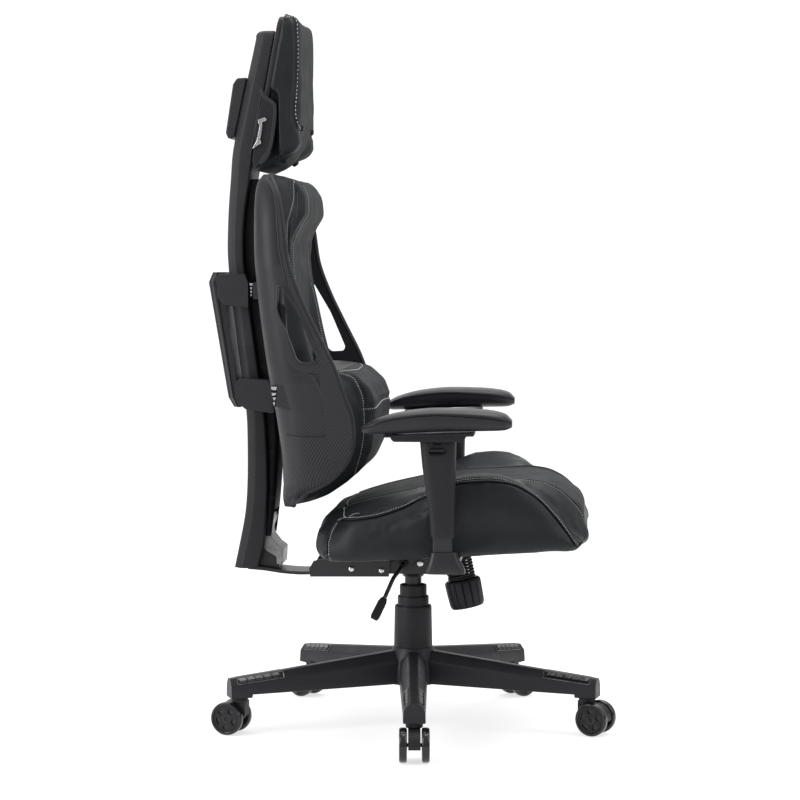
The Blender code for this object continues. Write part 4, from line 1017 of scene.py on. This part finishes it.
def make_shell():
    levels = spread(0.414, 0.470, 12) + spread(0.480, 0.960, 62) + spread(0.966, 1.006, 14)
    whole = shell_sheet(levels, lambda z: (-1, 1), 0.0, THICK, 81)
    bmesh.ops.triangulate(whole, faces=whole.faces)
    whole = cut(whole, window_tool(-1), window_tool(1))
    made = piece("shell_body", whole, "smooth", "back", ["back_shell"], sharp=40)
    made.data.materials.append(FINISH["carbon"])
    for face in made.data.polygons:
        if face.center.z < SHELL_CARBON_BELOW:
            face.material_index = 1
    for side, letter in ((-1, "right"), (1, "left")):
        def strip_rear(z, ahead=0.0):
            return side * shell_u(line_at(STRIP_REAR, z) - ahead, z)

        strip = shell_sheet(spread(STRIP_FROM, 0.9940, 60), lambda z: (strip_rear(z), side),
                            -0.0018, 0.0015, 10)
        piece(f"shell_strip_{letter}", strip, "carbon", "back", edge=0.0006)
        rim = [shell_point(strip_rear(z), z, -0.0016) for z in spread(0.680, 0.990, 60)]
        piece(f"shell_strip_rim_{letter}", tube(rim, 0.0014, 8), "smooth", "back")
        low = shell_sheet(spread(0.4300, STRIP_FROM, 44),
                          lambda z: (side * shell_u(0.1470 - (STRIP_FROM - z) * 0.10, z), side),
                          -0.0018, 0.0015, 10)
        piece(f"shell_strip_low_{letter}", low, "carbon", "back", edge=0.0006)
        raised = shell_sheet(spread(0.6595, 0.8465, 44),
                             lambda z: (side * shell_u(line_at(FRAME_REAR, z), z), strip_rear(z, 0.004)),
                             -0.0011, 0.0015, 16)
        bmesh.ops.triangulate(raised, faces=raised.faces)
        piece(f"shell_frame_{letter}", cut(raised, window_tool(side)), "carbon", "back")
        piece(f"window_rim_{letter}", window_rim(side), "smooth", "back")
        rail = [shell_point(side * 0.999, z, THICK / 2) for z in spread(0.418, 1.003, 120)]
        rail = [(x, y - 0.0005, z) for x, y, z in rail]
        piece(f"shell_lip_{letter}", tube(rail, 0.0052, 12), "smooth", "back")
        seam = [shell_point(side * shell_u(y, z), z, -0.0006) for y, z in
                smooth([(0.2040, 0.5505), (0.1800, 0.5480), (0.1500, 0.5480), (0.1255, 0.5505)], 6)]
        piece(f"shell_part_line_{letter}", tube(seam, 0.0007, 6), "smooth", "back")
        arc = [(0.1895, 0.6590), (0.1589, 0.6555), (0.1521, 0.6461), (0.1419, 0.6291), (0.1334, 0.5952),
               (0.1294, 0.5681), (0.1345, 0.5560)]
        ridge = [shell_point(side * shell_u(y, z), z, 0.0036) for y, z in smooth(arc, 8)]
        piece(f"shell_ridge_{letter}", tube(ridge, 0.0052, 14), "carbon", "back")
    make_lugs()


def make_lugs():
    """The blocks that the shell's ribbed buffers press on, and the buffers."""
    high = fillet([(0.2835, 0.8150), (0.2590, 0.8160), (0.2560, 0.7850), (0.2830, 0.7850)], 0.0022, 3)
    low = fillet([(0.2195, 0.6345), (0.2020, 0.6345), (0.1980, 0.6290), (0.1950, 0.6185), (0.1940, 0.6035),
                  (0.1950, 0.5955), (0.2010, 0.5950), (0.2095, 0.5980), (0.2220, 0.6000), (0.2220, 0.6055),
                  (0.2205, 0.6215)], 0.0012, 2)
    dark = fillet([(0.2335, 0.6360), (0.2180, 0.6360), (0.2200, 0.6000), (0.2290, 0.6000)], 0.0010, 2)
    ribs_low = [[(0.2320, 0.6350), (0.2210, 0.6345), (0.2230, 0.6285), (0.2305, 0.6295)],
                [(0.2305, 0.6240), (0.2225, 0.6240), (0.2235, 0.6200), (0.2300, 0.6190)],
                [(0.2290, 0.6160), (0.2230, 0.6160), (0.2240, 0.6125), (0.2265, 0.6105)],
                [(0.2285, 0.6080), (0.2245, 0.6080), (0.2250, 0.6040), (0.2265, 0.6015)]]
    lugs, backs, ribs = [], [], []
    for side in (-1, 1):
        lugs.append(slab(high, side, 0.066, 0.094))
        lugs.append(slab(low, side, 0.205, 0.2435))
        backs.append(slab(dark, side, 0.196, 0.2325))
        ribs += [slab(fillet(rib, 0.0005, 2), side, 0.200, 0.2355) for rib in ribs_low]
    piece("shell_lugs", joined(*lugs), "carbon", "back", edge=0.0010)
    piece("buffer_backs", joined(*backs), "channel", "back", edge=0.0006)
    piece("buffer_ribs", joined(*ribs), "chrome", "back", edge=0.0004)


# ---------------------------------------------------------------- upholstery


def coordinates(mesh):
    flat = np.empty(len(mesh.vertices) * 3)
    mesh.vertices.foreach_get("co", flat)
    return flat.reshape(-1, 3)


def directions(mesh):
    flat = np.empty(len(mesh.vertices) * 3)
    mesh.vertex_normals.foreach_get("vector", flat)
    return flat.reshape(-1, 3)


def store(mesh, points):
    mesh.vertices.foreach_set("co", points.ravel())
    mesh.update()


def swell(made, pressure, cap, free):
    """Blow the cover up like a stuffed cushion. free says how far each point may move, from 0 to 1."""
    rest = coordinates(made.data)
    cloth = made.modifiers.new("cloth", "CLOTH")
    cloth.settings.use_pressure = True
    cloth.settings.uniform_pressure_force = pressure
    cloth.settings.effector_weights.gravity = 0
    cloth.settings.quality = 4
    cloth.collision_settings.use_collision = False
    cloth.point_cache.frame_start = 1
    cloth.point_cache.frame_end = 20
    for step in range(1, 21):
        SCENE.frame_set(step)
    graph = bpy.context.evaluated_depsgraph_get()
    moved = coordinates(made.evaluated_get(graph).data) - rest
    made.modifiers.clear()
    SCENE.frame_set(1)
    far = np.linalg.norm(moved, axis=1, keepdims=True)
    moved *= np.minimum(1.0, cap / np.maximum(far, 1e-9))
    store(made.data, rest + moved * free[:, None])


def cushion(node, voxel, ease, shrink, cap, keep):
    """A soft copy of a plain cushion: an even mesh, eased edges, stuffing and one subdivision."""
    made = bpy.data.objects.new(node + "_cover", NODES[node].data.copy())
    SCENE.collection.objects.link(made)
    weld = made.modifiers.new("weld", "WELD")
    weld.merge_threshold = 0.00002
    remesh = made.modifiers.new("remesh", "REMESH")
    remesh.mode = "VOXEL"
    remesh.voxel_size = voxel
    soften = made.modifiers.new("soften", "SMOOTH")
    soften.factor = 0.5
    soften.iterations = ease
    settle(made)
    points, normals = coordinates(made.data), directions(made.data)
    free = keep(points, normals)
    store(made.data, points - normals * shrink * free[:, None])
    swell(made, 4.0, cap, free)
    divide = made.modifiers.new("divide", "SUBSURF")
    divide.levels = divide.render_levels = 1
    settle(made)
    made.data.materials.clear()
    made.data.materials.append(FINISH["leather"])
    made.data.shade_smooth()
    return made


def search_tree(made):
    return BVHTree.FromPolygons([v.co for v in made.data.vertices], [p.vertices for p in made.data.polygons])


def cast(tree, points, direction):
    """The surface points first met from far outside along a direction."""
    way = Vector(direction)
    made = []
    for p in points:
        hit = tree.ray_cast(Vector(p) - way * 1.0, way)[0]
        if hit and (not made or (hit - made[-1]).length < 0.03):
            made.append(hit)
    return [tuple(p) for p in made]


def side_line(tree, line, side, reach=0.25):
    """A seam given in Y and Z, laid on one side of a cushion."""
    points = [(side * reach, y, z) for y, z in smooth(line, 6)]
    return resample(cast(tree, points, (-side, 0, 0)), 0.003)


def front_line(tree, line):
    return resample(cast(tree, [(x, 0.15, z) for x, z in smooth(line, 6)], (0, 1, 0)), 0.003)


def top_line(tree, line):
    return resample(cast(tree, [(x, y, 0.45) for x, y in smooth(line, 6)], (0, 0, -1)), 0.003)


def carve(made, lines, depth, width):
    """Pull the cover in along its seams."""
    spots = np.vstack(lines)
    tree = KDTree(len(spots))
    for i, p in enumerate(spots):
        tree.insert(p, i)
    tree.balance()
    points, normals = coordinates(made.data), directions(made.data)
    away = np.array([tree.find(p)[2] for p in points])
    groove = np.exp(-((away / width) ** 2))
    swelling = np.exp(-(((away - width * 2.6) / width) ** 2))  # the cover rises a little beside its seam
    store(made.data, points - normals * (depth * (groove - 0.30 * swelling))[:, None])


def offset_line(tree, line, distance, toward_point):
    """A line beside another on the same surface, on the side of toward_point."""
    made = []
    line = [Vector(p) for p in line]
    for i, p in enumerate(line):
        along = (line[min(i + 1, len(line) - 1)] - line[max(i - 1, 0)]).normalized()
        normal = tree.find_nearest(p)[1]
        across = along.cross(normal).normalized()
        if across.dot(Vector(toward_point) - p) < 0:
            across = -across
        made.append(tuple(tree.find_nearest(p + across * distance)[0]))
    return made


THREAD = 0.00070  # the radius of the sewing thread


def stitch_row(tree, line, pitch):
    """Separate stitches along a line on a cover."""
    stitches = []
    length = pitch * 0.52
    points = [Vector(p) for p in resample(line, pitch)]
    for a, b in zip(points, points[1:]):
        along = (b - a).normalized()
        spot, normal, _, _ = tree.find_nearest((a + b) / 2)
        middle = spot + normal * THREAD * 0.6
        side = along.cross(normal).normalized()
        rings = []
        for t, thick in ((-0.5, 0.45), (-0.3, 1.0), (0.3, 1.0), (0.5, 0.45)):
            centre = middle + along * (t * length) - normal * (abs(t) * THREAD)
            rings.append([centre + side * c * thick + normal * s * thick for c, s in circle(THREAD, 6)])
        stitches.append(rings)
    return stitches


def thread(name, rows, body):
    """All the stitches of a cushion, as one piece."""
    bm = bmesh.new()
    for rings in (rings for row in rows for rings in row):
        verts = [[bm.verts.new(p) for p in ring] for ring in rings]
        for low, high in zip(verts, verts[1:]):
            for i in range(6):
                j = (i + 1) % 6
                bm.faces.new((low[i], low[j], high[j], high[i]))
        bm.faces.new(reversed(verts[0]))
        bm.faces.new(verts[-1])
    return piece(name, outward(bm), "thread", body, sharp=60)


def ramp(values, low, high):
    """A smooth rise from 0 at low to 1 at high."""
    t = np.clip((values - low) / (high - low), 0, 1)
    return t * t * (3 - 2 * t)


def bolster(made, crest, inner, outer, behind, top):
    """Bring the cover forward to the crest, a (y, z) line.

    inner and outer say where it starts and ends across the chair, behind and top where it fades out."""
    points = coordinates(made.data)
    wide = np.abs(points[:, 0])
    share = ramp(wide, *inner) * (1 - ramp(wide, *outer)) * (1 - ramp(points[:, 1], behind - 0.03, behind))
    share *= 1 - ramp(points[:, 2], *top)
    target = np.array([line_at(crest, z) for z in points[:, 2]])
    points[:, 1] -= share * np.clip(points[:, 1] - target, 0, 0.030)
    store(made.data, points)


def paint_lit_panels(made, lit_faces):
    """The panels of a cover in a rougher copy of its leather, a shade paler: painted light on the faces that
    the lamps fall on.
    """
    made.data.materials.append(FINISH["panel"])
    for face in made.data.polygons:
        if lit_faces(face.center, face.normal):
            face.material_index = 1


def front_of(seam, half):
    """Whether a face lies in front of the side seam."""
    return lambda c, n: c.y < line_at(seam, c.z) + 0.002 or (n.y < -0.2 and abs(c.x) < half)


def upholster(name, made, body, node, piping_and_shade_lines, seams, rows, trims=(), pitch=0.0045):
    """Name a cover and attach it to its body, sink its seams, and lay its cords, trims and thread on it."""
    carve(made, piping_and_shade_lines + seams, 0.0022, 0.0032)
    made.name = name
    made.data.name = name
    tree = search_tree(made)
    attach(made, body)
    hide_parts(node)
    cords = []
    # The dark cords: a real cord on an edge, and on a panel seam a painted seam shadow.
    for line in piping_and_shade_lines:
        eased = smooth([tuple(p) for p in resample(line, 0.012)], 4)
        cords.append(tube(eased, 0.0019, 8))
    if cords:
        piece(f"{name}_piping", joined(*cords), "piping_and_seam_shade", body)
    slim = [tube(smooth([tuple(p) for p in resample(line, 0.012)], 4), 0.0013, 8) for line in trims]
    if slim:
        piece(f"{name}_trim", joined(*slim), "trim", body)
    thread(f"{name}_thread", [stitch_row(tree, offset_line(tree, *row), pitch) for row in rows], body)
    return tree


def seat_keep(points, normals):
    """The underside stays flat on its board."""
    up = np.clip((points[:, 2] - 0.345 + points[:, 1] * 0.06) / 0.03, 0, 1)
    return up * np.clip(normals[:, 2] * 2 + 1.6, 0, 1)


def back_keep(points, normals):
    """Only what faces forward or up may swell. The rest sits in the shell."""
    return np.clip(-normals[:, 1] * 1.5 + 0.2, 0, 1)


def head_keep(points, normals):
    return np.clip(-normals[:, 1] * 2 + 0.9, 0, 1) * np.clip((0.262 - points[:, 1]) / 0.01, 0, 1)


SEAT_EDGE = [(0.133, 0.334), (0.1345, 0.362), (0.129, 0.383), (0.116, 0.397), (0.091, 0.403), (0.048, 0.4095),
             (0.002, 0.425), (-0.033, 0.4425), (-0.093, 0.469), (-0.122, 0.4735), (-0.153, 0.475),
             (-0.183, 0.471), (-0.209, 0.460), (-0.240, 0.437), (-0.267, 0.407), (-0.290, 0.376),
             (-0.302, 0.358)]


def make_seat_cover():
    made = cushion("seat_cushion", 0.006, 10, 0.0025, 0.0060, seat_keep)
    tree = search_tree(made)
    hollows = [top_line(tree, [(side * 0.176, -0.222), (side * 0.184, -0.255), (side * 0.192, -0.285),
                               (side * 0.200, -0.310)]) for side in (-1, 1)]
    carve(made, hollows, 0.0085, 0.0150)
    # The up-facing middle panel of the seat is painted a shade paler: painted light from above.
    paint_lit_panels(made, lambda c, n: abs(c.x) < 0.134 and n.z > 0.25)
    tree = search_tree(made)
    piping_and_shade_lines, seams, rows = [], [], []
    for side in (-1, 1):
        edge = side_line(tree, SEAT_EDGE, side)
        piping_and_shade_lines.append(edge)
        rows.append((edge, 0.0050, (0, -0.08, 0.60)))
        panel = top_line(tree, [(side * 0.124, 0.112), (side * 0.129, 0.070), (side * 0.131, 0.030),
                                (side * 0.133, -0.080), (side * 0.135, -0.180), (side * 0.139, -0.250),
                                (side * 0.142, -0.290), (side * 0.146, -0.312)])
        # The dark cord on this panel seam is painted seam shadow, not a real cord.
        piping_and_shade_lines.append(panel)
        rows.append((panel, 0.0050, (side * 2, -0.08, 0.45)))
        corner = top_line(tree, [(side * 0.124, 0.112), (side * 0.160, 0.108), (side * 0.185, 0.106),
                                 (side * 0.204, 0.098), (side * 0.222, 0.080)])
        seams.append(corner)
        rows.append((corner, 0.0036, (0, 0.3, 0.40)))
    rear = top_line(tree, [(-0.124, 0.112), (-0.04, 0.122), (0.04, 0.122), (0.124, 0.112)])
    seams.append(rear)
    rows.append((rear, 0.0040, (0, 0, 0.45)))
    upholster("seat_cover", made, "seat", "seat_cushion", piping_and_shade_lines, seams, rows)


BACK_SEAM = [(0.2015, 0.9960), (0.1990, 0.9760), (0.1985, 0.9625), (0.2020, 0.9355), (0.2065, 0.9190),
             (0.2095, 0.8955), (0.2090, 0.8715), (0.2030, 0.8210), (0.1960, 0.7940), (0.1920, 0.7470),
             (0.1890, 0.7265), (0.1830, 0.7030), (0.1765, 0.6755)]
BACK_TRIM = [(0.1955, 0.9760), (0.1955, 0.9325), (0.2035, 0.9155), (0.2070, 0.8955), (0.2070, 0.8750),
             (0.2045, 0.8515), (0.1995, 0.8175), (0.1920, 0.7850), (0.1785, 0.7215), (0.1670, 0.6755)]
LUMBAR_SEAM = [(0.1160, 0.6570), (0.0955, 0.6505), (0.0855, 0.6390), (0.0755, 0.6155), (0.0725, 0.5890),
               (0.0725, 0.5625), (0.0760, 0.5290), (0.0825, 0.5020), (0.0925, 0.4750)]


def make_back_covers():
    made = cushion("back_cushion", 0.005, 8, 0.0020, 0.0050, back_keep)
    bolster(made, [(y + 0.003, z) for y, z in BACK_TRIM], (0.085, 0.120), (0.150, 0.188), 0.250, (0.78, 0.93))
    # The forward-facing panels of the back are painted a shade paler: painted light from the front.
    paint_lit_panels(made, front_of(BACK_SEAM, 0.190))
    tree = search_tree(made)
    trims, seams, rows = [], [], []
    for side in (-1, 1):
        band = side_line(tree, BACK_SEAM, side)
        seams.append(band)
        rows.append((band, 0.0022, (side * 0.3, 0.4, 0.84)))
        trims.append(side_line(tree, BACK_TRIM, side))
        front = front_line(tree, [(side * 0.100, 0.990), (side * 0.108, 0.940), (side * 0.118, 0.880),
                                  (side * 0.120, 0.780), (side * 0.116, 0.680)])
        seams.append(front)
        rows.append((front, 0.0045, (0, 0.1, 0.84)))
    upholster("back_cover", made, "back", "back_cushion", [], seams, rows, trims)
    made = cushion("lumbar_cushion", 0.005, 14, 0.0015, 0.0035, back_keep)
    # The forward-facing panels of the lumbar cushion are painted a shade paler: painted light from the front.
    paint_lit_panels(made, front_of(LUMBAR_SEAM, 0.185))
    tree = search_tree(made)
    seams, rows = [], []
    for side in (-1, 1):
        band = side_line(tree, LUMBAR_SEAM, side)
        seams.append(band)
        rows.append((band, 0.0024, (side * 0.3, 0.3, 0.55)))
    waist = front_line(tree, mirrored([(0.172, 0.5960), (0.110, 0.5990), (0.040, 0.6010)]))
    brow = top_line(tree, mirrored([(0.180, 0.134), (0.148, 0.109), (0.080, 0.098), (0.027, 0.097)]))
    seams += [waist, brow]
    rows += [(waist, 0.0040, (0, 0, -2)), (brow, 0.0040, (0, 1, 0.66))]
    upholster("lumbar_cover", made, "back", "lumbar_cushion", [], seams, rows)


HEAD_SEAM = [(0.2315, 1.2875), (0.2240, 1.2905), (0.2140, 1.2895), (0.2070, 1.2850), (0.2030, 1.2780),
             (0.2015, 1.2645), (0.2000, 1.2360), (0.2005, 1.2035), (0.2020, 1.1630), (0.2050, 1.1345),
             (0.2050, 1.1140), (0.2010, 1.0955), (0.1945, 1.0770), (0.1935, 1.0625), (0.1980, 1.0505),
             (0.2095, 1.0360), (0.2280, 1.0250), (0.2460, 1.0180)]


def make_head_cover():
    made = cushion("headrest_cushion", 0.005, 7, 0.0015, 0.0040, head_keep)
    bolster(made, [(y + 0.002, z) for y, z in HEAD_SEAM], (0.040, 0.075), (0.105, 0.130), 0.236, (1.11, 1.16))
    # The forward-facing panels of the headrest are painted a shade paler: painted light from the front.
    paint_lit_panels(made, front_of(HEAD_SEAM, 0.100))
    tree = search_tree(made)
    trims, seams, rows = [], [], []
    for side in (-1, 1):
        edge = side_line(tree, HEAD_SEAM, side, 0.13)
        seams.append(edge)
        rows.append((edge, 0.0050, (0, -0.5, 1.16)))
        trims.append(side_line(tree, [(0.2325, 1.2802), (0.2273, 1.2850), (0.2170, 1.2870), (0.2098, 1.2835),
                                      (0.2067, 1.2760)], side, 0.13))
    upholster("headrest_cover", made, "headrest", "headrest_cushion", [], seams, rows, trims, 0.0072)


# ---------------------------------------------------------------- headrest hardware

SLIDE_LEAN = 0.1881


def slide_y(z, offset=0.0):
    return at(SPINE, 1.060)[1] - SLIDE_LEAN * (z - 1.060) - offset


def make_headrest():
    outline = fillet([(-0.102, 1.052), (0.102, 1.052), (0.102, 1.291), (-0.102, 1.291)], 0.018, 6)
    rings = []
    centre = 1.1715
    for offset, keep in ((0.0062, 0.975), (0.0075, 0.995), (0.0095, 1.0), (0.0150, 1.0), (0.0165, 0.99),
                         (0.0170, 0.975)):
        ring = [(x * keep, centre + (z - centre) * keep) for x, z in outline]
        rings.append([(x, slide_y(z, offset), z) for x, z in ring])
    piece("headrest_board", loft(rings), "carbon", "headrest", ["headrest_shell"], sharp=35)
    refine("headrest_slider", "carbon", 0.0010)
    refine("headrest_bracket", "nylon", 0.0008)
    hook = [(0.2690, 1.1050), (0.2575, 1.1090), (0.2530, 1.1060), (0.2545, 1.1030), (0.2620, 1.1000),
            (0.2610, 1.0950), (0.2625, 1.0830), (0.2655, 1.0685), (0.2630, 1.0645), (0.2640, 1.0620),
            (0.2690, 1.0595), (0.2775, 1.0535), (0.2790, 1.0545), (0.2710, 1.0685), (0.2680, 1.0830),
            (0.2655, 1.0960), (0.2680, 1.0980)]
    handle = prism(fillet(hook, 0.0010, 2), -0.1228, -0.1184)
    outer = [(0.2620, 1.1600), (0.2560, 1.1500), (0.2515, 1.1460), (0.2390, 1.1370), (0.2350, 1.1290),
             (0.2350, 1.1110), (0.2370, 1.0950), (0.2420, 1.0640), (0.2500, 1.0400), (0.2640, 1.0240)]
    inner = [(0.2675, 1.1560), (0.2600, 1.1440), (0.2550, 1.1395), (0.2435, 1.1305), (0.2420, 1.1150),
             (0.2440, 1.0950), (0.2495, 1.0640), (0.2580, 1.0440), (0.2700, 1.0300)]
    flange = smooth(outer, 4) + list(reversed(smooth(inner, 4)))
    cheeks = [slab(flange, side, 0.1175, 0.1212) for side in (-1, 1)]
    piece("headrest_cheek_rims", joined(*cheeks), "carbon", "headrest_slider", edge=0.0010)
    piece("headrest_handle", handle, "chrome", "headrest_lever", ["headrest_lever"], 0.0007)
    buttons = []
    tree = search_tree(bpy.data.objects["headrest_cover"])
    for side in (-1, 1):
        for spot, way in (((0.2, 1.0935), Vector((0, 1, 0))), ((0.2235, 1.0310), Vector((0, 0.6, 0.8)))):
            place = Vector(cast(tree, [(side * 0.076, *spot)], way)[0]) + way * 0.001
            buttons.append(pan_head(place, -way, 0.0068, 0.0054))
    piece("headrest_buttons", joined(*buttons), "leather", "headrest", sharp=50)


# ---------------------------------------------------------------- armrests

ARM_X = 0.300
SEAT_Z = 0.3338
SEAT_SLOPE = 0.0603
PAD_X = 0.325
ARM_Y = -0.0725
ARM_PAD = [  # y, underside, top, half width
    (-0.1915, 0.5725, 0.5850, 0.0200), (-0.1800, 0.5680, 0.5955, 0.0340), (-0.1500, 0.5665, 0.6020, 0.0430),
    (-0.1000, 0.5655, 0.6045, 0.0460), (-0.0500, 0.5640, 0.6040, 0.0460), (0.0000, 0.5615, 0.5975, 0.0450),
    (0.0380, 0.5600, 0.5870, 0.0420), (0.0530, 0.5605, 0.5795, 0.0360), (0.0625, 0.5640, 0.5725, 0.0220),
]
PARTING = [(-0.1930, 0.5805), (-0.1800, 0.5850), (-0.1500, 0.5895), (-0.1130, 0.5925), (-0.0715, 0.5945),
           (-0.0150, 0.5915), (0.0225, 0.5840), (0.0470, 0.5750), (0.0625, 0.5690)]


def pad_half(upper):
    """The soft top of a pad, or the hard shell under it."""
    rings = []
    ends = [-0.1915, -0.1908, -0.1895, -0.1875]
    for y in ends + spread(-0.1850, 0.0580, 62) + [0.0600, 0.0615, 0.0625]:
        low, high, half = at(ARM_PAD, y)
        part = min(max(at(PARTING, y)[0], low + (high - low) * 0.3), high - (high - low) * 0.25)
        ring = []
        for a in spread(0, math.pi, 25):
            c, s = math.cos(a), math.sin(a)
            x = half * math.copysign(abs(c) ** 0.78, c)
            if upper:
                z = part + 0.0006 + (high - part - 0.0006) * abs(s) ** 0.80
                ring.append((x, z))
            else:
                ring.append((x * 0.985, part - 0.0006 - (part - low - 0.0006) * abs(s) ** 0.72))
        middle = part + (0.0001 if upper else -0.0001)
        edge = [(-half * 0.93, middle), (half * 0.93, middle)]
        rings.append([(-PAD_X + x, y, z) for x, z in ring + edge])
    return loft(rings)


def make_arm(side, letter, setback):
    shift = Matrix.Translation((0, setback, 0))

    def ready(bm):
        bm = placed(bm, shift)
        return bm if side < 0 else flipped(bm)

    rings = []
    for z, y0, y1, half in ((0.3190, -0.1110, -0.0440, 0.0186), (0.3196, -0.1115, -0.0436, 0.0190),
                            (0.3250, -0.1110, -0.0440, 0.0190), (0.3300, -0.1090, -0.0451, 0.0189),
                            (0.3360, -0.1052, -0.0474, 0.0183), (0.3430, -0.1011, -0.0498, 0.0173),
                            (0.3510, -0.0982, -0.0518, 0.0158), (0.3556, -0.0973, -0.0525, 0.0152),
                            (0.3562, -0.0966, -0.0531, 0.0146)):
        rings.append([(-ARM_X + x, y, z) for x, y in superellipse(half, y0, y1, 48, 4.5)])
    post = fillet([(-0.011, -0.0165), (0.011, -0.0165), (0.011, 0.0165), (-0.011, 0.0165)], 0.003, 4)
    post = loft([[(-ARM_X + x, ARM_Y + y, z) for x, y in post] for z in (0.340, 0.500)])
    strip = loft([[(x, y, SEAT_Z - SEAT_SLOPE * (y + setback) + z) for y, z in
                   ((-0.100, -0.0100), (-0.050, -0.0100), (-0.050, -0.0003), (-0.100, -0.0003))]
                  for x in (-0.290, -0.1006)])
    piece(f"arm_stand_{letter}", ready(union(loft(rings), post, strip)), "steel", "seat",
          [f"arm_foot_{letter}"], 0.0006, 35)
    levels = [(0.3820, -0.0930, -0.0520, 0.0165), (0.4200, -0.0938, -0.0490, 0.0175),
              (0.5000, -0.0950, -0.0380, 0.0190), (0.5480, -0.0955, -0.0335, 0.0195)]
    rings = []
    for z in [0.3820, 0.3828, 0.3845] + spread(0.3900, 0.5400, 24) + [0.5462, 0.5475, 0.5480]:
        y0, y1, half = at(levels, z)
        inset = 0.0012 * (max(0, 0.3845 - z) / 0.0025) ** 2 + 0.0008 * (max(0, z - 0.5462) / 0.0018) ** 2
        ring = superellipse(half - inset, y0 + inset, y1 - inset, 56, 3.2)
        rings.append([(-ARM_X + x, y, z) for x, y in ring])
    hollow = prism([(ARM_Y - 0.0173, 0.37), (ARM_Y + 0.0173, 0.37), (ARM_Y + 0.0173, 0.535),
                    (ARM_Y - 0.0173, 0.535)], -ARM_X - 0.0118, -ARM_X + 0.0118)
    window = [(-0.0790, 0.5270), (-0.0500, 0.5270), (-0.0500, 0.5330), (-0.0580, 0.5350),
              (-0.0580, 0.5500), (-0.0710, 0.5500), (-0.0710, 0.5350), (-0.0790, 0.5330)]
    window = prism(window, -0.3300, -0.3125)
    piece(f"arm_cover_{letter}", ready(cut(loft(rings), hollow, window)), "nylon", f"arm_{letter}",
          [f"arm_sleeve_{letter}"], 0.0005, 35)
    refine(f"arm_trigger_{letter}", "smooth", 0.0006)
    upper = [(-0.1280, 0.5585), (0.0060, 0.5560), (0.0245, 0.5560), (0.0260, 0.5588), (-0.0100, 0.5600),
             (-0.1280, 0.5640)]
    lower = [(-0.1080, 0.5484), (0.0080, 0.5484), (0.0130, 0.5530), (0.0140, 0.5600), (-0.1140, 0.5600),
             (-0.1120, 0.5520)]
    deck = union(prism(fillet(upper, 0.0015, 3), -PAD_X - 0.028, -PAD_X + 0.036),
                 prism(fillet(lower, 0.0020, 3), -PAD_X - 0.024, -PAD_X + 0.033))
    piece(f"arm_deck_{letter}", ready(deck), "nylon", f"carriage_{letter}",
          [f"arm_carriage_{letter}"], 0.0006)
    piece(f"arm_pad_top_{letter}", ready(pad_half(True)), "rubber", f"pad_{letter}", [f"arm_pad_{letter}"],
          sharp=60)
    piece(f"arm_pad_shell_{letter}", ready(pad_half(False)), "smooth", f"pad_{letter}", sharp=60)


# ---------------------------------------------------------------- the chair

make_camera()
make_light()
make_floor()
make_base()
make_casters()
make_column()
make_mechanism()
make_spine()
make_brace()
make_flex_springs()
make_shell()
make_seat_cover()
make_back_covers()
make_head_cover()
make_headrest()
for arm in SIDES:
    make_arm(*arm)
